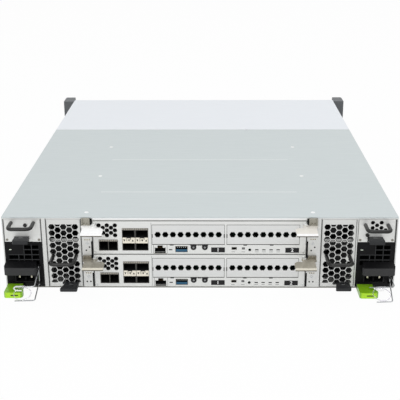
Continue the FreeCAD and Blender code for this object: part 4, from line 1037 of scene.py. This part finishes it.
def cover_screws():
    """Flat screws of the rear cover, in two rows."""
    half, first, step = 129 * MM, REAR + 15.5 * MM, 132.25 * MM
    profile = [(2.6, 0), (2.6, 0.12), (2.2, 0.38), (1.1, 0.38), (0.8, 0.2)]
    unit = shape()
    turned(unit, Vector((-half, first, TOP)), UP, profile)
    rows = repeated("cover_screws", unit, "enclosure", PALE_PRINT_AND_HIGHLIGHT, 2, (2 * half, 0, 0), 3, (0, step, 0))
    stand_in(rows, "case_screws")


def cover_lines():
    """Painted highlights along the edges of the rear cover's two long beads, and of the seam between the
    covers.
    """
    bm = shape()
    low, high = TRAY["lower"]
    for share in BEAD_SHARES:
        y = REAR + share * (SEAM - REAR)
        left, right = Vector((low.x, y, TOP)), Vector((high.x, y, TOP))
        block(bm, shifted(left, 0, -0.45, -0.28), shifted(right, -4, 0.45, 0.03))
    left, right = Vector((-HALF_W, SEAM, TOP)), Vector((HALF_W, SEAM, TOP))
    block(bm, shifted(left, 0.3, -0.5, -0.3), shifted(right, -0.3, 0, 0.05))
    piece("cover_lines", bm, "enclosure", PALE_PRINT_AND_HIGHLIGHT)


# ---------------- supplies, batteries, fans

GRIP_R = 2.14
GRIP_BEND = 5.2
GRIP_Z = 38.3


def lone_block(name, body, a, b, finish, ease=0.0):
    """A piece that is one block."""
    bm = shape()
    block(bm, a, b, ease)
    piece(name, bm, body, finish)


def grip(name, body, spot, x, z, wide, out):
    """A smooth U-shaped grab handle over the moulded bar of a module's face."""
    left, right = x - wide / 2, x + wide / 2
    corners = [spot(left, 0, z), spot(left, out, z), spot(right, out, z), spot(right, 0, z)]
    round_bar(name, body, HANDLE, rounded(corners, GRIP_BEND, 8), GRIP_R, 20)


def face_edge_shades(name, body, spot, box):
    """Painted shade along the folded edges down both sides of a module's face."""
    wide, high = size_of(box)
    bm = shape()
    for left in (0.1, wide - 0.6):
        block(bm, spot(left, 0.08, 0.3), spot(left + 0.5, -0.3, high - 0.3))
    piece(name, bm, body, SEAM_SHADE)


def release_tab(name, spot, outline, foot, high, arm, label):
    """A module's black release tab with the arm behind it, and a pale mark on top."""
    latch = name + "_latch"
    bm = shape()
    prism(bm, [spot(x, out, foot) for x, out in outline], (0, 0, high * MM), 0.4)
    base = foot + 0.6
    block(bm, spot(arm["left"], 1, base), spot(arm["right"], -arm["reach"], base + arm["thick"]))
    stand_in(piece(name + "_tab", bm, latch, BLACK_LATCH), latch)
    left, out, top = label["left"], label["out"], foot + high
    corners = spot(left, out, top - 0.1), spot(left + label["wide"], out - 1, top + 0.08)
    lone_block(latch + "_mark", latch, *corners, GREY_PRINT, 0.05)


def battery_details(side):
    """Handle, corner screws, painted shade along the edges, filler strip and release tab of a battery, and
    on the right a backing of painted shade.
    """
    body = side + "_battery"
    spot = partial(beside, BATTERY[side][0])
    dx, z = (0.4, 23.0) if side == "left" else (-0.5, 20.6)
    grip(body + "_grip", body, spot, size_of(BATTERY[side])[0] / 2 + dx, z, 25.4, 20.0)
    bm = shape()
    for x in (2.9, 39.2):
        screw_head(bm, spot(x, 0, 2.4), 1.5, 0.5)
    smooth(piece(body + "_screws", bm, body, SPRING, DEEP_SHADE))
    # Painted shade along the face's folded edges.
    face_edge_shades(body + "_edges", body, spot, BATTERY[side])
    lone_block(body + "_filler", body, spot(28.0, 0.15, 0.3), spot(31.9, -0.3, 8.0), FILLER)
    # A backing of painted shade behind the right battery's face.
    if side == "right":
        lone_block(body + "_shade_backing", body, spot(3, -5.4, 10), spot(39, -5.8, 25), DEEP_SHADE)
    outline = ((12.0, 0.3), (11.2, 12.5), (12.0, 13.5), (28.7, 13.5), (28.1, 0.3))
    arm = {"left": 14.5, "right": 25.9, "reach": 20, "thick": 2.8}
    release_tab(body, spot, outline, 1.9, 4.6, arm, {"left": 16.85, "wide": 4.8, "out": 4.6})


def supply_details(side):
    """Inlet's insulator, painted glints on the blade tips, bars of the intake, a small lamp and the latch's
    slot.
    """
    body = side + "_psu"
    spot = partial(beside, SUPPLY[side])
    middle = INLET_X[side]
    bm = shape()
    for x0, x1, z0, z1 in (
        (-12.3, -10.6, 4.8, 19.0), (10.6, 12.3, 4.8, 19.0),
        (-12.3, 12.3, 4.8, 5.6), (-12.3, 12.3, 18.2, 19.0),
    ):
        block(bm, spot(middle + x0, -0.4, z0), spot(middle + x1, -16, z1), 0.2)
    piece(side + "_inlet_insulator", bm, body, DARK_PRINT)
    # Bright blocks at the blade tips, as painted glints.
    tips = shape()
    for x in (middle - 6.9, middle + 6.9):
        block(tips, spot(x - 0.9, -2.2, 9.4), spot(x + 0.9, -4.0, 12.4), 0.2)
    piece(side + "_blade_tips", tips, body, BLADE_GLINT)
    bars = shape()
    for x0, x1, z0, z1 in (
        (3.4, 38.2, 33.2, 33.7), (3.4, 38.2, 39.3, 39.8), (21.2, 38.2, 45.6, 46.1),
        (14.5, 15.0, 27, 39.3), (20.8, 21.3, 27, 52.6), (29.6, 30.1, 27, 52.6),
    ):
        block(bars, spot(x0, 0.2, z0), spot(x1, -0.4, z1))
    piece(side + "_intake_bars", bars, body, INTAKE_GREY)
    lone_block(side + "_supply_lamp", body, spot(4.2, 0.25, 45.2), spot(7.0, -0.3, 46.1), PALE_LENS, 0.15)
    low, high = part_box(side + "_psu_latch")
    wide = (high.x - low.x) / MM
    slot = shifted(low, 0.37 * wide, -0.1, 2.6), shifted(low, 0.74 * wide, 1.5, 3.9)
    lone_block(side + "_latch_slot", side + "_psu_latch", *slot, DARK_PRINT, 0.1)


def fan_details(side):
    """Handle, face holes as dark discs of painted shade, inner bracket, release tab, and painted shade
    round the vents and along the edges of a fan module.
    """
    body = side + "_fan_module"
    spot = partial(beside, FAN[side][0])
    wide = size_of(FAN[side])[0]
    middle = wide / 2
    grip(side + "_fan_grip", body, spot, middle, GRIP_Z, 26.2, 26.0)
    # Face holes drawn as dark discs of painted shade.
    bm = shape()
    for x in (middle - 13.1, middle + 13.1):
        turned(bm, spot(x, -0.3, 33.6), OUTWARD, [(1.0, 0), (1.0, 0.36)], 16)
    smooth(piece(side + "_fan_face_holes", bm, body, DEEP_SHADE))
    corners = spot(1.2, -9, 51.5), spot(wide - 1.2, -10, 55.5)
    lone_block(side + "_fan_inner_bracket", body, *corners, ZINC, 0.3)
    out, flare = (20.0, 3.0) if side == "left" else (17.5, 1.0)
    outline = (
        (19.3, 0.3), (17.8 - flare, out - 1.5), (18.8 - flare, out),
        (33.4, out), (34.4, out - 1.5), (33.9, 0.3),
    )
    arm = {"left": 18.8, "right": 31.4, "reach": 15.8, "thick": 2.0}
    release_tab(side + "_fan", spot, outline, 2.0, 3.6, arm, {"left": 24.4, "wide": 3.8, "out": 7.6})
    fan_vent_edges(side)
    face_edge_shades(side + "_fan_edge_shades", body, spot, FAN[side])


STRAPS = {
    # the tie's free end, which lies over the lime latch: across, out and up
    "left": (
        (-198.3, 17.8, 9.6), (-209.1, 17.8, 9.4), (-210.4, 22.5, 9.2), (-206.2, 28.0, 9.0),
        (-200.1, 27.8, 9.0),
    ),
    "right": (
        (210.4, 18.0, 9.6), (200.7, 18.4, 9.4), (198.3, 22.3, 9.2), (199.9, 26.2, 9.0), (207.4, 25.3, 9.0),
    ),
}


def cord_bail(side):
    """The bent-wire cord keeper in one smooth wire, and its clear tie with the strap's free end."""
    body = side + "_cord_bail"
    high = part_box(body)[1]
    hinge = Vector((high.x - 0.7 * MM, 0, SUPPLY[side].z))
    head = (high.z - hinge.z) / MM
    drop, bend, sweep, droop = (5.6, -2.9, 1.2, 2.2) if side == "left" else (0.8, 3.0, -3.2, 1.6)
    spot = partial(beside, hinge)
    upper = ((0, 5, head - 0.3), (0, 5, head - drop), (bend, 20, 8.9), (-13.7, 20, 8.4), (-26, 20.5, 8.2))
    lower = ((0, 5, 4.2), (0, 5, 8.8), (sweep, 42, droop), (-21, 43, droop - 0.2))
    stem = (lower[0], upper[0])
    bm = shape()
    for n, corners in enumerate((upper, lower, stem)):
        path = rounded([spot(*c) for c in corners], 2.5)
        bm.from_mesh(tube_mesh("%s_wire_%d" % (side, n), path, 0.68))
    stand_in(piece(side + "_bail_wire", bm, body, WIRE), body)
    inward = Vector((0, 1, 0.347)).normalized()
    ring = circle(spot(-14.0, 33.6, 6.35), Vector((1, 0, 0)), inward, 9.7, 48)
    round_bar(side + "_clear_tie", body, TIE, ring, 0.6, closed=True)
    strap = rounded([at(*c) for c in STRAPS[side]], 2.5)
    round_bar(side + "_tie_strap", body, STRAP, strap, 0.75)


# ---------------- drive side

def drive_details():
    """Two lamps on each drive's front, and finger ribs on its lever."""
    for name in DRIVES:
        low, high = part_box(name)
        lever_low, lever_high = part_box(name + "_lever")
        corner = Vector((high.x, lever_low.y, low.z))
        lamps = shape()
        for inset in (7.5, 4.1):
            block(lamps, shifted(corner, -inset, -0.6, 9), shifted(corner, 2 - inset, -0.05, 11), 0.3)
        piece(name + "_lamps", lamps, name, PALE_LENS)
        foot = Vector((lever_high.x, lever_low.y, lever_low.z))
        top = Vector((lever_high.x, lever_low.y, lever_high.z))
        rib = shape()
        block(rib, shifted(foot, -20, 3.1, 1.4), shifted(top, -19, 3.6, -1.4), 0.2)
        repeated(name + "_lever_ribs", rib, name + "_lever", BLACK_LATCH, 5, (2.4 * MM, 0, 0))


# ---------------- light, floor and camera

def white_for_camera(tree, shader_socket, amount):
    """Blend a shader with plain white light for what the camera and mirrors see."""
    rays = node(tree, "ShaderNodeLightPath").outputs
    seen = maths(tree, "MAXIMUM", rays["Is Camera Ray"], rays["Is Glossy Ray"])
    seen = maths(tree, "MAXIMUM", seen, rays["Is Transmission Ray"])
    glow = node(tree, "ShaderNodeEmission").outputs[0]
    blend = {0: maths(tree, "MULTIPLY", seen, amount), 1: shader_socket, 2: glow}
    return node(tree, "ShaderNodeMixShader", blend).outputs[0]


def floor():
    """A plain pale floor that keeps a faint shadow."""
    made, tree, shader = blank("floor_white")
    feed(tree, shader, {"Base Color": (0.9, 0.9, 0.9, 1), "Roughness": 0.9})
    out = next(n for n in tree.nodes if n.type == "OUTPUT_MATERIAL")
    feed(tree, out, {"Surface": white_for_camera(tree, shader.outputs[0], 0.96)})
    bm = shape()
    bm.faces.new([bm.verts.new((x, y, 0)) for x, y in ((-6, -6), (6, -6), (6, 6), (-6, 6))])
    plane = linked("floor", mesh_of("floor", bm))
    plane.data.materials.append(made)


def world_light(strength):
    """Even light from all round, seen as white."""
    world = bpy.data.worlds.new("studio")
    world.use_nodes = True
    tree = world.node_tree
    tree.nodes.clear()
    sky = node(tree, "ShaderNodeBackground", {"Strength": strength}).outputs[0]
    node(tree, "ShaderNodeOutputWorld", {"Surface": white_for_camera(tree, sky, 1.0)})
    bpy.context.scene.world = world


def soft_lamp(name, place, target, size, watts):
    """A large soft lamp that points at a place."""
    data = bpy.data.lights.new(name, "AREA")
    data.energy = watts
    data.size = size
    lamp = linked(name, data)
    lamp.location = place
    lamp.rotation_euler = (Vector(target) - Vector(place)).to_track_quat("-Z", "Y").to_euler()


def camera():
    """The view from behind and above."""
    yaw, pitch, roll = 0.7615, -19.769, -0.2307
    data = bpy.data.cameras.new("camera")
    data.sensor_width = 36.0
    data.lens = 78.66
    made = linked("camera", data)
    stance = Matrix.Translation(at(13.0, 916.8, 437.1))
    for degrees, axis in ((yaw, "Z"), (90 + pitch, "X"), (roll, "Z")):
        stance = stance @ Matrix.Rotation(math.radians(degrees), 4, axis)
    made.matrix_world = stance
    bpy.context.scene.camera = made


def studio():
    """Light, floor and camera."""
    floor()
    world_light(0.62)
    soft_lamp("front_lamp", (-0.6, -2.4, 1.3), (0, REAR, 0.04), 1.8, 26)
    soft_lamp("top_lamp", (0.4, 0.2, 2.4), (0, 0, 0), 2.2, 22)
    camera()
    bpy.context.scene.view_settings.view_transform = "Standard"


# ---------------- the whole shelf

paint_nodes()
for level in LEVELS:
    dress_canister(level)
post_screws()
post_gauge_marks()
post_lines()
cover_screws()
cover_lines()
for side in SIDES:
    battery_details(side)
    supply_details(side)
    fan_details(side)
    cord_bail(side)
drive_details()
studio()
